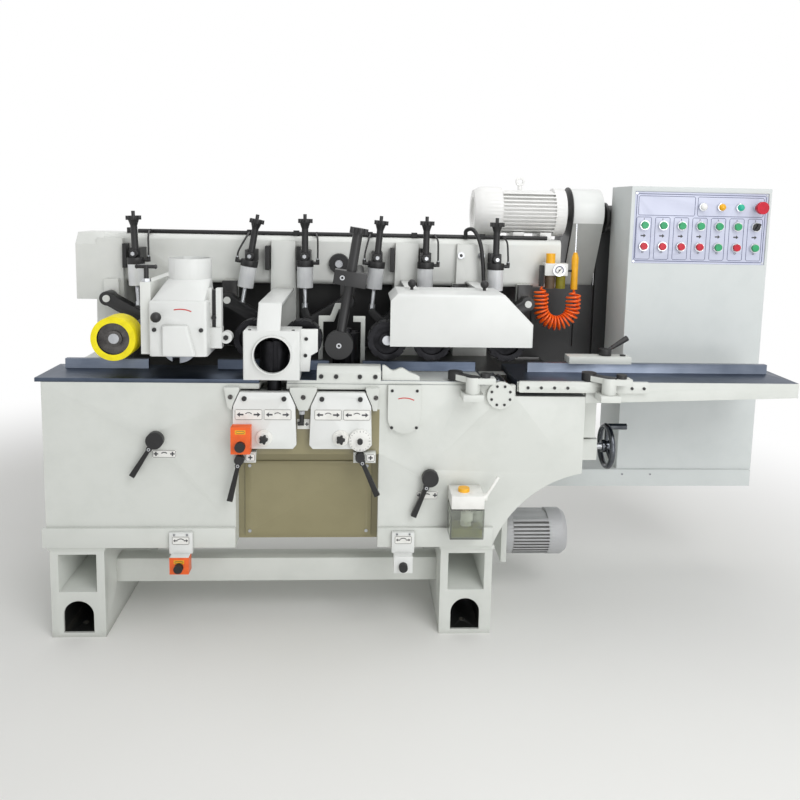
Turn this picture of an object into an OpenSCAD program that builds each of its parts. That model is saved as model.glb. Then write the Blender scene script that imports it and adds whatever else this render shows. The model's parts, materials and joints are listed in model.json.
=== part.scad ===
// Four sided moulder: a bed on two pedestals, four cutter spindles, an overhead
// feed beam with six air pressed rollers, and a control cabinet at the infeed end.
// Stock runs from +X to -X along the fence. +Y is the rear, the floor is z = 0.

/* [Stand] */
// Distance between the centre planes of the two pedestals
ped_pitch = 1170; // [1100:10:1240]
// Width of one pedestal
ped_w = 160; // [140:5:180]
// Height of the pedestals
ped_h = 288; // [260:2:320]
// Depth of the pedestals and the bed, front to back
bed_depth = 640; // [600:10:680]
// Diameter of an anchor bolt hole
anchor_d = 18; // [12:1:22]
// Anchor hole centre from the pedestal's front or back face
anchor_inset = 60; // [50:5:80]
// Thickness of the pedestal's floor plate
foot_t = 14; // [10:1:18]
// Height of the tie beam
tie_h = 75; // [60:5:90]

/* [Bed] */
// Height of the table above the floor
table_h = 800; // [760:5:840]
// Thickness of the steel table plates
plate_t = 12; // [8:1:16]
// Bed reach to the left of the stand's centre
bed_left = 672; // [670:1:690]
// Bed reach to the right of the stand's centre
bed_right = 930; // [900:5:960]
// Wall of the hollow casting
wall = 16; // [14:1:24]
// Height of the flange band along the foot of the bed
flange_h = 60; // [50:2:70]
// Depth of the recess that holds the front access panel
recess_d = 58; // [45:1:70]
// Radius of the swept underside at the infeed end
sweep_r = 353; // [330:1:370]

/* [Feed path] */
// Distance from the bed's front face to the fence
work_w = 135; // [130:1:145]
// Height of the fence above the table
fence_h = 30; // [20:1:34]
// Stock thickness that the rollers are set to
stock_t = 45; // [38:1:55]
// Diameter of the rubber outfeed roller
soft_roller_d = 130; // [116:1:136]
// Diameter of a steel feed roller
roller_d = 120; // [110:1:126]
// Width of a steel feed roller
roller_w = 50; // [40:1:52]
// Width of the rubber outfeed roller
soft_roller_w = 80; // [60:1:90]
// Diameter of a roller's axle
axle_d = 30; // [24:1:34]
// Radial clearance of a turning shaft in its bore
shaft_clear = 0.05; // [0.02:0.01:0.1]

/* [Cutters] */
// Diameter of a vertical cutter head
side_cutter_d = 84; // [76:1:88]
// Height of a vertical cutter head
side_cutter_h = 112; // [90:1:120]
// Diameter of the top cutter head
top_cutter_d = 104; // [90:1:112]
// Diameter of the bottom cutter head
bottom_cutter_d = 78; // [70:1:86]
// Diameter of a cutter spindle
spindle_d = 40; // [30:1:44]
// Height of a knife above its cutter body
knife_h = 1.5; // [1:0.1:2.5]

/* [Feed beam] */
// Height of the beam's underside above the table
beam_rise = 234; // [225:1:245]
// Height of the beam
beam_h = 169; // [160:1:180]
// Depth of the beam, front to back
beam_d = 170; // [160:1:190]
// Horizontal reach of a feed arm from its pivot to the roller
arm_reach = 130; // [124:1:136]
// Diameter of a feed arm's pivot pin
pivot_d = 24; // [18:1:28]
// Thickness of a feed arm
arm_t = 50; // [40:1:52]
// Diameter of an air cylinder's barrel
barrel_d = 54; // [48:1:60]
// Diameter of a piston rod
rod_d = 14; // [10:1:16]

/* [Drive] */
// Diameter of the feed motor over its fins
motor_d = 182; // [160:2:190]
// Length of the feed motor
motor_len = 330; // [300:5:340]
// Diameter of the lower motor over its fins
low_motor_d = 156; // [140:2:170]
// Length of the lower motor
low_motor_len = 205; // [180:5:230]
// Number of cooling fins on a motor
fin_count = 11; // [7:1:15]
// Thickness of one motor fin
fin_t = 5; // [3:0.5:8]
// Width of the belt guard
belt_guard_w = 112; // [90:2:116]

/* [Infeed table] */
// Length of the infeed table
table_len = 870; // [820:5:900]
// Depth of the infeed table
table_d = 260; // [240:5:280]
// Thickness of the infeed table
table_t = 30; // [24:1:32]
// Downward travel of the infeed table
table_travel = 10; // [6:1:12]
// Outside diameter of the handwheel
wheel_d = 146; // [130:2:156]

/* [Control cabinet] */
// Width of the control cabinet
cab_w = 485; // [470:5:500]
// Depth of the control cabinet
cab_d = 200; // [180:5:240]
// Height of the control cabinet
cab_h = 983; // [940:1:1010]
// Distance between two columns of push buttons
button_pitch = 64.5; // [60:0.5:66]
// Diameter of a push button
button_d = 24; // [20:1:26]
// Travel of a push button
button_travel = 4; // [3:0.5:5]

/* [Dust hoods] */
// Inside radius of the front hood's round port
port_r = 53; // [45:1:56]
// Outside radius of the left hood's round duct
duct_r = 62.5; // [55:0.5:66]
// Sheet thickness of the hoods and guards
sheet = 3; // [2:0.5:4]

/* [Hand levers] */
// Length of a hand lever from hub to tip
lever_len = 128; // [110:1:140]
// Diameter of a lever's hub
lever_hub_d = 50; // [44:1:56]

/* [Air hose] */
// Diameter of the curly hose's tube
hose_d = 7.5; // [6:0.5:8]
// Radius of a curl at the middle of the tube
curl_r = 23; // [20:1:25]
// Number of curls
curl_count = 22; // [12:1:24]

/* [Hidden] */
$fn = 48;
eps = 0.5;
seat_gap = 0.2;
y_front = -bed_depth / 2;
y_rear = bed_depth / 2;
ped_x = ped_pitch / 2;
anchor_y = bed_depth / 2 - anchor_inset;
bed_top = table_h - plate_t;
bed_l = -bed_left;
bed_r = bed_right;

// Swept underside of the bed: a cylinder along the depth
sweep_x = bed_r + 66;
sweep_z = table_h - 631;
sweep_left = sweep_x - sweep_r - 8;

// Feed path
fence_y = y_front + work_w;
fence_t = 18;
path_gap = 5;
roll_y1 = fence_y - path_gap;
roll_y0 = roll_y1 - roller_w;
roll_x = [-473, -72, 74, 332, 470, 700];
arm_dx = arm_reach * [-1, -1, 1, 0.7, 1, 1];
clevis_dx = [-30, -83, -14, -42, 0, 15];
cyl_top_x = [-514, -103, 58, 316, 473, 715];
roll_r = [for (i = [0:5]) (i == 0 ? soft_roller_d : roller_d) / 2];
roll_z = [for (i = [0:5]) table_h + stock_t + roll_r[i]];
pivot_x = [for (i = [0:5]) roll_x[i] + arm_dx[i]];
pivot_z = table_h + beam_rise - 49;

// Beam, columns and arms
beam_z0 = table_h + beam_rise;
beam_z1 = beam_z0 + beam_h;
beam_y0 = y_rear - beam_d;
beam_x0 = -725;
beam_x1 = 960;
col_y0 = beam_y0 - 20;
col_d = 150;
col_top = beam_z1 - 18;
arm_y1 = beam_y0 - 40;
arm_y0 = arm_y1 - arm_t;
cyl_y = arm_y0 + 20;
clevis_z = table_h + 164;
knob_z = table_h + 462;
cols = [[-660, 98], [-66, 93], [365, 90], [580, 122]];

// Cutter spindles
left_xy = [-5, roll_y0 - 3 - side_cutter_d / 2 - knife_h];
right_xy = [206, fence_y - 2 + side_cutter_d / 2 + knife_h];
bottom_x = 670;
bottom_z = table_h - bottom_cutter_d / 2 - knife_h;
top_x = -276;
top_z = table_h + stock_t + top_cutter_d / 2 + knife_h;
pocket_w = bottom_cutter_d / 2 + 7;
pocket_z0 = bottom_z - pocket_w;
cap_t = 12;
cap_skin = 6;
pocket_y0 = y_front + 22;
cutter_y0 = y_front + 4;
cutter_len = work_w - 10;

// Side heads
bay_z0 = table_h - 210;
head_z0 = table_h - 202;
head_z1 = table_h - 33;
head_t = 25;
bays = [[-100, 145], [125, 145]];
heads = [[-121, 187], [104, 184]];
counter_pos = [-92, table_h - 168];
dial_pos = [253, table_h - 174];
recess_x0 = bays[0][0] - 15;
recess_x1 = bays[1][0] + bays[1][1] + 40;

// Infeed table
inf_x0 = bottom_x + 50;
inf_x1 = inf_x0 + table_len;
inf_z0 = table_h - table_t;
step_z = inf_z0 - table_travel - 5;
apron_h = 65;
slide_clear = 0.4;
wheel_pos = [bed_r + 112, -200, table_h - 236];
shaft_d = 20;

// Control cabinet
cab_x1 = bed_r + 710;
cab_x0 = cab_x1 - cab_w;
cab_y0 = 10;
cab_wall = 4;
plinth_z0 = ped_h + 66;
plinth_h = 60;
cab_z0 = plinth_z0 + plinth_h;
cab_z1 = cab_z0 + cab_h;
panel_in = 8;
panel_t = 3;
panel_x0 = cab_x0 + 13;
panel_w = cab_w - 22;
panel_h = 242;
panel_z1 = cab_z1 - 17;
panel_y = cab_y0 + panel_in - panel_t;
but_x0 = panel_x0 + 36;
but_z = [panel_z1 - 113, panel_z1 - 184];
lamp_z = panel_z1 - 48;
lamp_x = [for (i = [0:3]) but_x0 + 198 + i * button_pitch];
bezel_len = 12;
bezel_r = button_d / 2 + 4;
button_gap = 0.4;

// Drive
motor_y = y_rear - 60;
motor_x0 = 655;
motor_foot = 8;
motor_z = beam_z1 + motor_foot + motor_d / 2;
guard_x0 = motor_x0 + motor_len + 22;
guard_r = 88;
low_shaft = [motor_y + 150, table_h + 180];
low_motor_y = -75;
low_motor_z = sweep_z + 58;
low_motor_x0 = 743;

// Levers: x, height and turn from straight down, seen from the front
lever_x = [-344, -98, 254, 464];
lever_z = [table_h - 178, table_h - 231, table_h - 223, table_h - 292];
lever_turn = [-32, -13, 24, -22];
boss_t = 10;
counter_t = 34;
lever_y = [y_front - boss_t, y_front - head_t, y_front - head_t, y_front - boss_t];
lever_hub = lever_hub_d * [1, 0.56, 0.56, 1];
lever_pin_d = 14;

// Hoods and guard
fh_x0 = -90;
fh_w = 164;
fh_y0 = left_xy[1] - side_cutter_d / 2 - 8;
fh_y1 = roll_y0 - 6;
fh_h = 145;
port_z = table_h + 77;
lip = 12;
lip_t = 4;
lh_w = 165;
lh_x0 = top_x - lh_w / 2;
lh_z0 = table_h + stock_t + 23;
lh_z1 = lh_z0 + 162;
lh_y0 = y_front - 10;
lh_y1 = fence_y + 15;
duct_y = y_front + 90;
duct_x = top_x + 16;
duct_z0 = lh_z1 + 58;
duct_h = 60;
ig_x0 = 339;
ig_x1 = 775;
ig_z0 = table_h + 93;
ig_z1 = table_h + 253;
ig_y0 = y_front + 50;
ig_y1 = y_front + 260;
strap_x = [410, 640];

// Air supply and hose
frl_y = beam_y0 - 45;
hose_y = frl_y;
hose_x0 = 885;
hose_x1 = 1000;
hose_top0 = table_h + 245;
hose_top1 = table_h + 235;
hose_bend_z = table_h + 172;
air_line_d = 14;

// Paint colours
paint = "#dcdcd8";
dark = "#222222";
steel = "#8d939c";

// Shared shapes

// Box from its lowest to its highest corner
module box(a, b) {
  translate(a)
    cube(b - a);
}

// Cylinder along +Y from y0 to y1
module rod_y(x, z, y0, y1, d) {
  translate([x, y0, z])
    rotate([-90, 0, 0])
      cylinder(d = d, h = y1 - y0);
}

// Cylinder along +X from x0 to x1
module rod_x(y, z, x0, x1, d) {
  translate([x0, y, z])
    rotate([0, 90, 0])
      cylinder(d = d, h = x1 - x0);
}

// Front view outline, extruded from y0 back to y1
module front_slab(y0, y1) {
  translate([0, y1, 0])
    rotate([90, 0, 0])
      linear_extrude(height = y1 - y0)
        children();
}

// Side view outline in y and z, extruded from x0 to x1
module side_slab(x0, x1) {
  translate([x0, 0, 0])
    rotate([90, 0, 90])
      linear_extrude(height = x1 - x0)
        children();
}

// Rectangle with round corners, from its lowest corner
module round_rect(w, h, r) {
  translate([r, 0])
    square([w - 2 * r, h]);
  translate([0, r])
    square([w, h - 2 * r]);
  for (x = [r, w - r], y = [r, h - r])
    translate([x, y])
      circle(r);
}

// Round slot outline between two points
module slot_2d(a, b, r) {
  d = b - a;
  translate(a)
    circle(r);
  translate(b)
    circle(r);
  translate(a)
    rotate(atan2(d[1], d[0]))
      translate([0, -r])
        square([norm(d), 2 * r]);
}

// Round slot outline between two points, as one ring of points
function slot_ring(a, b, r, n = 20) =
  let (d = b - a, t = atan2(d[1], d[0]))
    [for (k = [0:2 * n + 1])
      let (end = k <= n ? b : a, w = t - 90 + (k <= n ? k : k - 1) * 180 / n)
        end + r * [cos(w), sin(w)]];

// Rectangle outline with a chamfer at each upper corner
function chamfer_top(x0, x1, z0, z1, cl, cr) =
  [[x0, z0], [x1, z0], [x1, z1 - cr], [x1 - cr, z1], [x0 + cl, z1], [x0, z1 - cl]];

// Socket screw head on a front face
module screw_front(x, z, y, d = 12, h = 5) {
  rod_y(x, z, y - h, y, d);
}

// Lobed hand knob standing on z = 0
module star_knob(d, h) {
  linear_extrude(height = h)
    union() {
      circle(d = d * 0.7);
      for (i = [0:4])
        rotate(i * 72)
          translate([d * 0.36, 0])
            circle(d = d * 0.28);
    }
}

// Cutter body with its knife slots, along +Z from z = 0
module cutter(d, h, knives = 4) {
  notch = d * 0.16;
  difference() {
    cylinder(d = d, h = h);
    for (i = [0:knives - 1])
      rotate(i * 360 / knives)
        translate([d / 2 - notch, -notch * 0.2, -eps])
          cube([notch * 2, notch * 1.4, h + 2 * eps]);
  }
  for (i = [0:knives - 1])
    rotate(i * 360 / knives)
      translate([d / 2 - notch - 1, -notch * 0.2, 2])
        cube([notch + knife_h + 0.7, 3, h - 4]);
}

// Motor along +X from its fan cowl: cowl, finned body and end shield
module motor(d, len) {
  cowl = len * 0.3;
  shield = len * 0.12;
  ribs = len - cowl - shield;
  pitch = d * 0.8 / fin_count;
  rotate([0, 90, 0]) {
    difference() {
      union() {
        cylinder(d1 = d * 0.84, d2 = d * 0.98, h = cowl * 0.25);
        translate([0, 0, cowl * 0.25])
          cylinder(d = d * 0.98, h = cowl * 0.75);
      }
      translate([0, 0, -eps])
        cylinder(d = d * 0.55, h = len * 0.03);
    }
    translate([0, 0, cowl - eps])
      cylinder(d = d * 0.86, h = ribs + 2 * eps);
    intersection() {
      translate([0, 0, cowl - eps])
        cylinder(d = d, h = ribs + 2 * eps);
      for (k = [0:fin_count - 1])
        translate([(k - (fin_count - 1) / 2) * pitch - fin_t / 2, -d / 2, 0])
          cube([fin_t, d, len]);
    }
    translate([0, 0, len - shield])
      cylinder(d = d * 0.96, h = shield);
  }
}

// Hand lever: hub and arm in the front plane, hub face at y = 0 pointing to -Y
module hand_lever(len, hub_d) {
  hub_h = 22;
  rod_y(0, 0, -hub_h, 0, hub_d);
  rod_y(0, 0, 0, 8, lever_pin_d);
  // flat tapered arm with a screw boss at its root
  front_slab(-hub_h / 2 - 7, -hub_h / 2 + 6)
    polygon([[-5.5, 0], [5.5, 0], [5.5, -hub_d * 0.6], [8.5, -len], [-8.5, -len], [-5.5, -hub_d * 0.6]]);
  rod_y(0, -hub_d * 0.6, -hub_h / 2 - 10, -hub_h / 2 + 6, 17);
}

// Stand

// One pedestal: a floor plate, an arched tunnel and a boxed tunnel above it
module pedestal() {
  arch_w = ped_w * 0.56;
  arch_top = ped_h * 0.40;
  box_w = ped_w * 0.70;
  difference() {
    union() {
      box([-ped_w / 2, y_front, 0], [ped_w / 2, y_rear, ped_h]);
      box([-ped_w / 2 - 4, y_front - 4, ped_h - 12], [ped_w / 2 + 4, y_rear + 4, ped_h]);
    }
    box([-arch_w / 2, y_front - 9, foot_t], [arch_w / 2, y_rear + 9, arch_top - arch_w / 2]);
    rod_y(0, arch_top - arch_w / 2, y_front - 9, y_rear + 9, arch_w);
    for (s = [-1, 1])
      box([-box_w / 2, s * bed_depth * 0.3 - bed_depth * 0.25, ped_h * 0.5],
          [box_w / 2, s * bed_depth * 0.3 + bed_depth * 0.25, ped_h - 26]);
    for (s = [-1, 1])
      translate([0, s * anchor_y, -eps])
        cylinder(d = anchor_d, h = foot_t + 2 * eps);
  }
}

// Two pedestals and the angle beam that ties them
module stand() {
  tie_t = 8;
  tie_y = y_front + 110;
  tie_z = ped_h * 0.42;
  color(paint) {
    for (s = [-1, 1])
      translate([s * ped_x, 0, 0])
        pedestal();
    box([-ped_x + ped_w / 2, tie_y, tie_z], [ped_x - ped_w / 2, tie_y + tie_t, tie_z + tie_h]);
    box([-ped_x + ped_w / 2, tie_y, tie_z + tie_h - tie_t], [ped_x - ped_w / 2, tie_y + 64, tie_z + tie_h]);
  }
}

// Bed

// Closed hollow inside the casting, clear of the head bays and the bottom cutter
module bed_hollow() {
  back = y_rear - wall;
  low_front = y_front + recess_d + wall;
  foot = ped_h + wall;
  box([bed_l + wall, y_front + wall, foot], [bays[0][0] - wall, back, bed_top - wall]);
  box([bays[0][0] - wall - eps, low_front, foot], [bottom_x - 70, back, bay_z0 - wall]);
  box([bays[0][0] - wall - eps, right_xy[1] + 50 + wall, bay_z0 - wall - eps],
      [bays[1][0] + bays[1][1] + wall + eps, back, bed_top - wall]);
  box([recess_x1 + wall, y_front + wall, bay_z0 - wall - eps], [bottom_x - 70, back, bed_top - wall]);
  box([bottom_x - 70 - eps, y_front + wall, foot], [sweep_left, back, pocket_z0 - wall]);
  box([sweep_left - eps, y_front + wall, sweep_z + sweep_r + wall], [bed_r - wall, back, pocket_z0 - wall]);
}

// Swept underside, cut back by a clearance
module sweep(extra = 0) {
  rod_y(sweep_x, sweep_z, y_front - 60, y_rear + 60, 2 * (sweep_r - extra));
}

// Wedge guides between and beside the head plates, clear of the plates' cut corners
gib_t = 19;
gib_clear = 2;
gib_low = head_z1 - 55;
gib_top = bed_top - 8;

module gibs() {
  shoulder = head_z1 - 38;
  first = heads[0][0] - gib_clear;
  last = heads[1][0] + heads[1][1] + gib_clear;
  mid0 = heads[0][0] + heads[0][1] + gib_clear;
  mid1 = heads[1][0] - gib_clear;
  front_slab(y_front - gib_t, y_front + eps) {
    polygon([[first - 22, gib_top], [first + 22, gib_top], [first + 22, head_z1 + gib_clear],
             [first + 4, shoulder], [first, gib_low], [first - 12, gib_low + 10]]);
    polygon([[mid0 - 22, gib_top], [mid1 + 22, gib_top],
             [mid1 + 22, head_z1 + gib_clear], [mid1 + 4, shoulder],
             [mid1 - 4, gib_low], [mid0 + 4, gib_low],
             [mid0 - 4, shoulder], [mid0 - 22, head_z1 + gib_clear]]);
    polygon([[last - 22, gib_top], [last + 18, gib_top], [last + 12, gib_low], [last, gib_low],
             [last - 4, shoulder], [last - 22, head_z1 + gib_clear]]);
  }
}

// Cover with a round foot beside the head plates
shield_x = 334;
shield_r = 49;
shield_h = 97;

module bed_casting() {
  foot_x = ped_x + ped_w / 2;
  flange_p = 12;
  band = 34;
  color(paint)
    difference() {
      union() {
        difference() {
          union() {
            box([bed_l, y_front, ped_h], [bed_r, y_rear, bed_top]);
            box([bed_l - 8, y_front - flange_p, ped_h], [foot_x - 4, y_front + eps, ped_h + flange_h]);
          }
          sweep();
          box([inf_x0 - 4, y_front - 9, step_z], [bed_r + 9, y_rear + 9, table_h]);
        }
        // cover plate, front bearing cap, lever bosses and lower motor bracket
        box([shield_x, y_front - 12, bed_top - shield_h], [shield_x + 2 * shield_r, y_front + eps, bed_top]);
        rod_y(shield_x + shield_r, bed_top - shield_h, y_front - 12, y_front + eps, 2 * shield_r);
        rod_y(bottom_x, bottom_z, y_front - cap_t, y_front + eps, 83);
        presser_shelf(presser_x[0]);
        for (i = [0, 3])
          rod_y(lever_x[i], lever_z[i], y_front - boss_t, y_front + eps, 44);
        for (i = [1, 2])
          box([lever_x[i] - 20, y_front - head_t, bay_z0 - 34], [lever_x[i] + 46, y_front + eps, bay_z0 - 2]);
        gibs();
        box([low_motor_x0 - 18, low_motor_y - 75, low_motor_z - low_motor_d / 2],
            [low_motor_x0, low_motor_y + 75, sweep_z + sweep_r]);
        box([bed_r - eps, wheel_pos[1] - 38, wheel_pos[2] - band],
            [wheel_pos[0] - 42, wheel_pos[1] + 38, wheel_pos[2] + band]);
      }
      bed_hollow();
      // recess of the access panel and the two head bays
      box([recess_x0, y_front - 16, ped_h - 9], [recess_x1, y_front + recess_d, bay_z0 - wall]);
      for (b = bays)
        box([b[0], y_front - 30, bay_z0], [b[0] + b[1], right_xy[1] + 50, bed_top - wall]);
      // table slots of the vertical spindles
      box([left_xy[0] - 40, y_front - 30, bed_top - wall - eps], [left_xy[0] + 40, left_xy[1] + 40, table_h]);
      box([right_xy[0] - 40, right_xy[1] - 40, bed_top - wall - eps],
          [right_xy[0] + 40, right_xy[1] + 40, table_h]);
      // pocket and bores of the bottom spindle
      box([bottom_x - pocket_w, pocket_y0, pocket_z0], [bottom_x + pocket_w, fence_y + 8, table_h + eps]);
      rod_y(bottom_x, bottom_z, y_front - cap_t + cap_skin, y_rear + 9, spindle_d + 2 * shaft_clear);
      // pins of the levers and the handwheel's shaft
      for (i = [0:3])
        rod_y(lever_x[i], lever_z[i], lever_y[i] - 9, lever_y[i] + boss_t, lever_pin_d + 2 * shaft_clear);
      rod_x(wheel_pos[1], wheel_pos[2], bed_r + 5, wheel_pos[0] + 9, shaft_d + 2 * shaft_clear);
    }
}

// Front access panel in the recess and the sheet behind the feed arms
module access_panels() {
  panel_front = y_front + recess_d - 4;
  z0 = ped_h + 10;
  z1 = bay_z0 - wall - 40;
  x0 = recess_x0 + 20;
  x1 = recess_x1 - 20;
  color("#8a8465") {
    box([x0, panel_front, z0], [x1, panel_front + 4, z1]);
    for (x = [x0 + 14, x1 - 14], z = [z0 + 14, z1 - 14])
      screw_front(x, z, panel_front, 10, 3);
  }
  color(dark)
    box([cols[0][0] + cols[0][1] / 2, col_y0 + col_d, bed_top],
        [cols[3][0] + cols[3][1], col_y0 + col_d + sheet, beam_z0 - eps]);
}

// Clamp bar, deflector and yoke that stand on the table
clamp_x0 = 123;
wave_x = 316;
wave_len = 112;
function wave_z(t) = table_h + 35 - 25 * t * t * t + 9 * sin(720 * t + 60) * (1 - t);
yoke_t = 14;
yoke_z = table_h + 167;
yoke_x = right_xy[0] - side_cutter_d / 2 - 31;
yoke_x1 = right_xy[0] + side_cutter_d / 2 + 3;

// Steel table plates and the fence pieces on them
module table_plates() {
  right_end = bottom_x - bottom_cutter_d / 2 - 7;
  gap = side_cutter_d / 2 + 10;
  pieces = [[bed_l + 20, -400], [-190, right_xy[0] - gap], [right_xy[0] + gap, right_end - 10]];
  color(steel) {
    difference() {
      box([bed_l - 18, y_front, bed_top], [right_end, fence_y + 60, table_h]);
      box([left_xy[0] - 40, y_front - 30, bed_top - eps], [left_xy[0] + 40, left_xy[1] + 40, table_h + eps]);
      box([right_xy[0] - 40, right_xy[1] - 40, bed_top - eps],
          [right_xy[0] + 40, right_xy[1] + 140, table_h + eps]);
    }
    for (p = pieces)
      box([p[0], fence_y, table_h], [p[1], fence_y + fence_t, table_h + fence_h]);
  }
  color(paint) {
    // bar that clamps the front guide
    side_slab(clamp_x0, wave_x - 4)
      polygon([[y_front, table_h - eps], [y_front, table_h + 22], [y_front + 22, table_h + 38],
               [y_front + 58, table_h + 38], [y_front + 58, table_h - eps]]);
    // wavy chip deflector
    front_slab(y_front + 8, y_front + 24)
      polygon(concat([[wave_x + wave_len, table_h - eps], [wave_x, table_h - eps]],
                     [for (t = [0:0.05:1]) [wave_x + t * wave_len, wave_z(t)]]));
    // stepped yoke round the hold down post
    front_slab(fence_y + 28, fence_y + 40) {
      polygon([[yoke_x - yoke_t, table_h - eps], [yoke_x - yoke_t, yoke_z], [yoke_x + 22, yoke_z],
               [yoke_x + 37, yoke_z + 40], [yoke_x + 59, yoke_z + 40], [yoke_x + 59, yoke_z + 22],
               [yoke_x + 48, yoke_z + 22], [yoke_x + 34, yoke_z - 18], [yoke_x, yoke_z - 18],
               [yoke_x, table_h - eps]]);
      polygon([[yoke_x1 - 24, yoke_z], [yoke_x1 + yoke_t, yoke_z], [yoke_x1 + yoke_t, table_h - eps],
               [yoke_x1, table_h - eps], [yoke_x1, yoke_z - 18], [yoke_x1 - 24, yoke_z - 18]]);
    }
  }
}

// Feed beam with its columns, arm pins and top spindle quill

// One feed arm's fixed pin and the lug that carries it
module arm_lug(i) {
  lug_w = pivot_d + 26;
  box([pivot_x[i] - lug_w / 2, arm_y1 + 2, pivot_z - lug_w / 2],
      [pivot_x[i] + lug_w / 2, beam_y0 + 12, beam_z0 + 12]);
  rod_y(pivot_x[i], pivot_z, arm_y0 - 4, arm_y1 + 4, pivot_d);
}

// One tapered column
module column(c) {
  taper = c[1] * 0.06;
  front_slab(col_y0, col_y0 + col_d)
    polygon([[c[0], bed_top], [c[0] + c[1], bed_top],
             [c[0] + c[1] - taper, col_top], [c[0] + taper, col_top]]);
}

module feed_beam() {
  corner = 20;
  quill_d = 96;
  arm_x0 = lh_x0 - 31;
  gear_x0 = beam_x1 - 70;
  color(paint)
    difference() {
      union() {
        side_slab(beam_x0 + 60, beam_x1)
          translate([beam_y0, beam_z0])
            round_rect(beam_d, beam_h, corner);
        // chamfered lug at the outfeed end
        side_slab(beam_x0, beam_x0 + 90)
          polygon([[beam_y0 - 20, beam_z0 - 60], [y_rear - 20, beam_z0 - 60], [y_rear - 20, beam_z1],
                   [beam_y0 + 10, beam_z1], [beam_y0 - 20, beam_z1 - 40]]);
        for (c = cols)
          column(c);
        for (i = [0:5])
          arm_lug(i);
        // carrier and quill of the top spindle
        box([arm_x0, lh_y0 + 30, top_z - 30], [arm_x0 + 30, beam_y0 + 12, beam_z0 + 46]);
        box([arm_x0, lh_y1 + 5, top_z - 28], [top_x, col_y0 - 10, top_z + 28]);
        rod_y(top_x, top_z, lh_y1, col_y0 - 10, quill_d);
        // reduction gearbox under the infeed end of the beam
        box([gear_x0, y_rear - 30, low_shaft[1] - 55],
            [guard_x0 - 5 - seat_gap, low_shaft[0] + 45, beam_z0 + 12]);
      }
      rod_y(top_x, top_z, lh_y1 - 9, col_y0 + 9, spindle_d + 2 * shaft_clear);
    }
}

// Feed motor on the beam and the lower motor on its bracket
module motors() {
  color("#f2f2f2") {
    translate([motor_x0, motor_y, motor_z])
      motor(motor_d, motor_len);
    for (x = [motor_x0 + motor_len * 0.42, motor_x0 + motor_len * 0.72])
      box([x, motor_y - 72, beam_z1], [x + 40, y_rear - 4, motor_z - motor_d * 0.40]);
    rod_x(motor_y, motor_z, motor_x0 + motor_len - eps, guard_x0, 60);
    // lifting eye
    translate([motor_x0 + motor_len * 0.52, motor_y, motor_z + motor_d / 2 + 18])
      rotate([90, 0, 0])
        rotate_extrude()
          translate([13, 0])
            circle(d = 9);
    translate([motor_x0 + motor_len * 0.52, motor_y, motor_z + motor_d * 0.40])
      cylinder(d = 16, h = motor_d * 0.1 + 3);
  }
  color("#8f9095")
    translate([low_motor_x0 + low_motor_len, low_motor_y, low_motor_z])
      mirror([1, 0, 0])
        motor(low_motor_d, low_motor_len);
}

// Belt guard from the motor shaft down to the gearbox shaft
module belt_guard() {
  a = [motor_y, motor_z];
  x1 = guard_x0 + belt_guard_w;
  skin = 2 * sheet;
  hollow_r = guard_r * 0.7;
  color(paint)
    difference() {
      side_slab(guard_x0, x1)
        polygon(slot_ring(a, low_shaft, guard_r));
      side_slab(guard_x0 + skin, x1 - skin)
        translate(low_shaft)
          rotate(atan2(a[1] - low_shaft[1], a[0] - low_shaft[0]))
            translate([-hollow_r, -hollow_r])
              square([norm(a - low_shaft) + 2 * hollow_r, 2 * hollow_r]);
    }
  color(dark) {
    side_slab(guard_x0 - 5 - seat_gap, guard_x0 - seat_gap)
      difference() {
        polygon(slot_ring(a, low_shaft, guard_r + 5));
        translate(a)
          circle(d = 62);
      }
    // flanged pulley end and support leg outside the guard
    rod_x(motor_y, motor_z - 10, x1 + seat_gap, x1 + 16, 74);
    box([x1 + seat_gap, low_shaft[0] - 110, low_shaft[1] - 60], [x1 + 10, low_shaft[0] + 30, motor_z - 30]);
  }
}

// Control cabinet on its plinth
module control_cabinet() {
  y1 = cab_y0 + cab_d;
  color("#d2d6d6")
    difference() {
      union() {
        box([cab_x0, cab_y0, cab_z0], [cab_x1, y1, cab_z1]);
        box([cab_x0 + 14, y1 - eps, cab_z0 + 14], [cab_x1 - 14, y1 + 4, cab_z1 - 14]);
        rod_y(cab_x0 + 40, cab_z0 + cab_h * 0.5, y1, y1 + 12, 28);
        intersection() {
          box([ped_x, cab_y0 - 8, plinth_z0], [cab_x1 - 4, y1 + 8, cab_z0]);
          sweep_end();
        }
      }
      box([panel_x0, cab_y0 - 9, panel_z1 - panel_h], [panel_x0 + panel_w, cab_y0 + panel_in, panel_z1]);
      box([sweep_x - sweep_r + 110, cab_y0, plinth_z0 + cab_wall], [cab_x1 - 12, y1, cab_z0 - cab_wall]);
      box([cab_x0 + cab_wall, cab_y0 + panel_in + cab_wall, cab_z0 + cab_wall],
          [cab_x1 - cab_wall, y1 - cab_wall, cab_z1 - cab_wall]);
    }
}

// Space to the right of the bed's swept underside, where the plinth ends
module sweep_end() {
  sweep(0.2);
  box([sweep_x, y_front - 60, 0], [cab_x1 + 9, y_rear + 60, cab_z0 + eps]);
}

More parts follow.
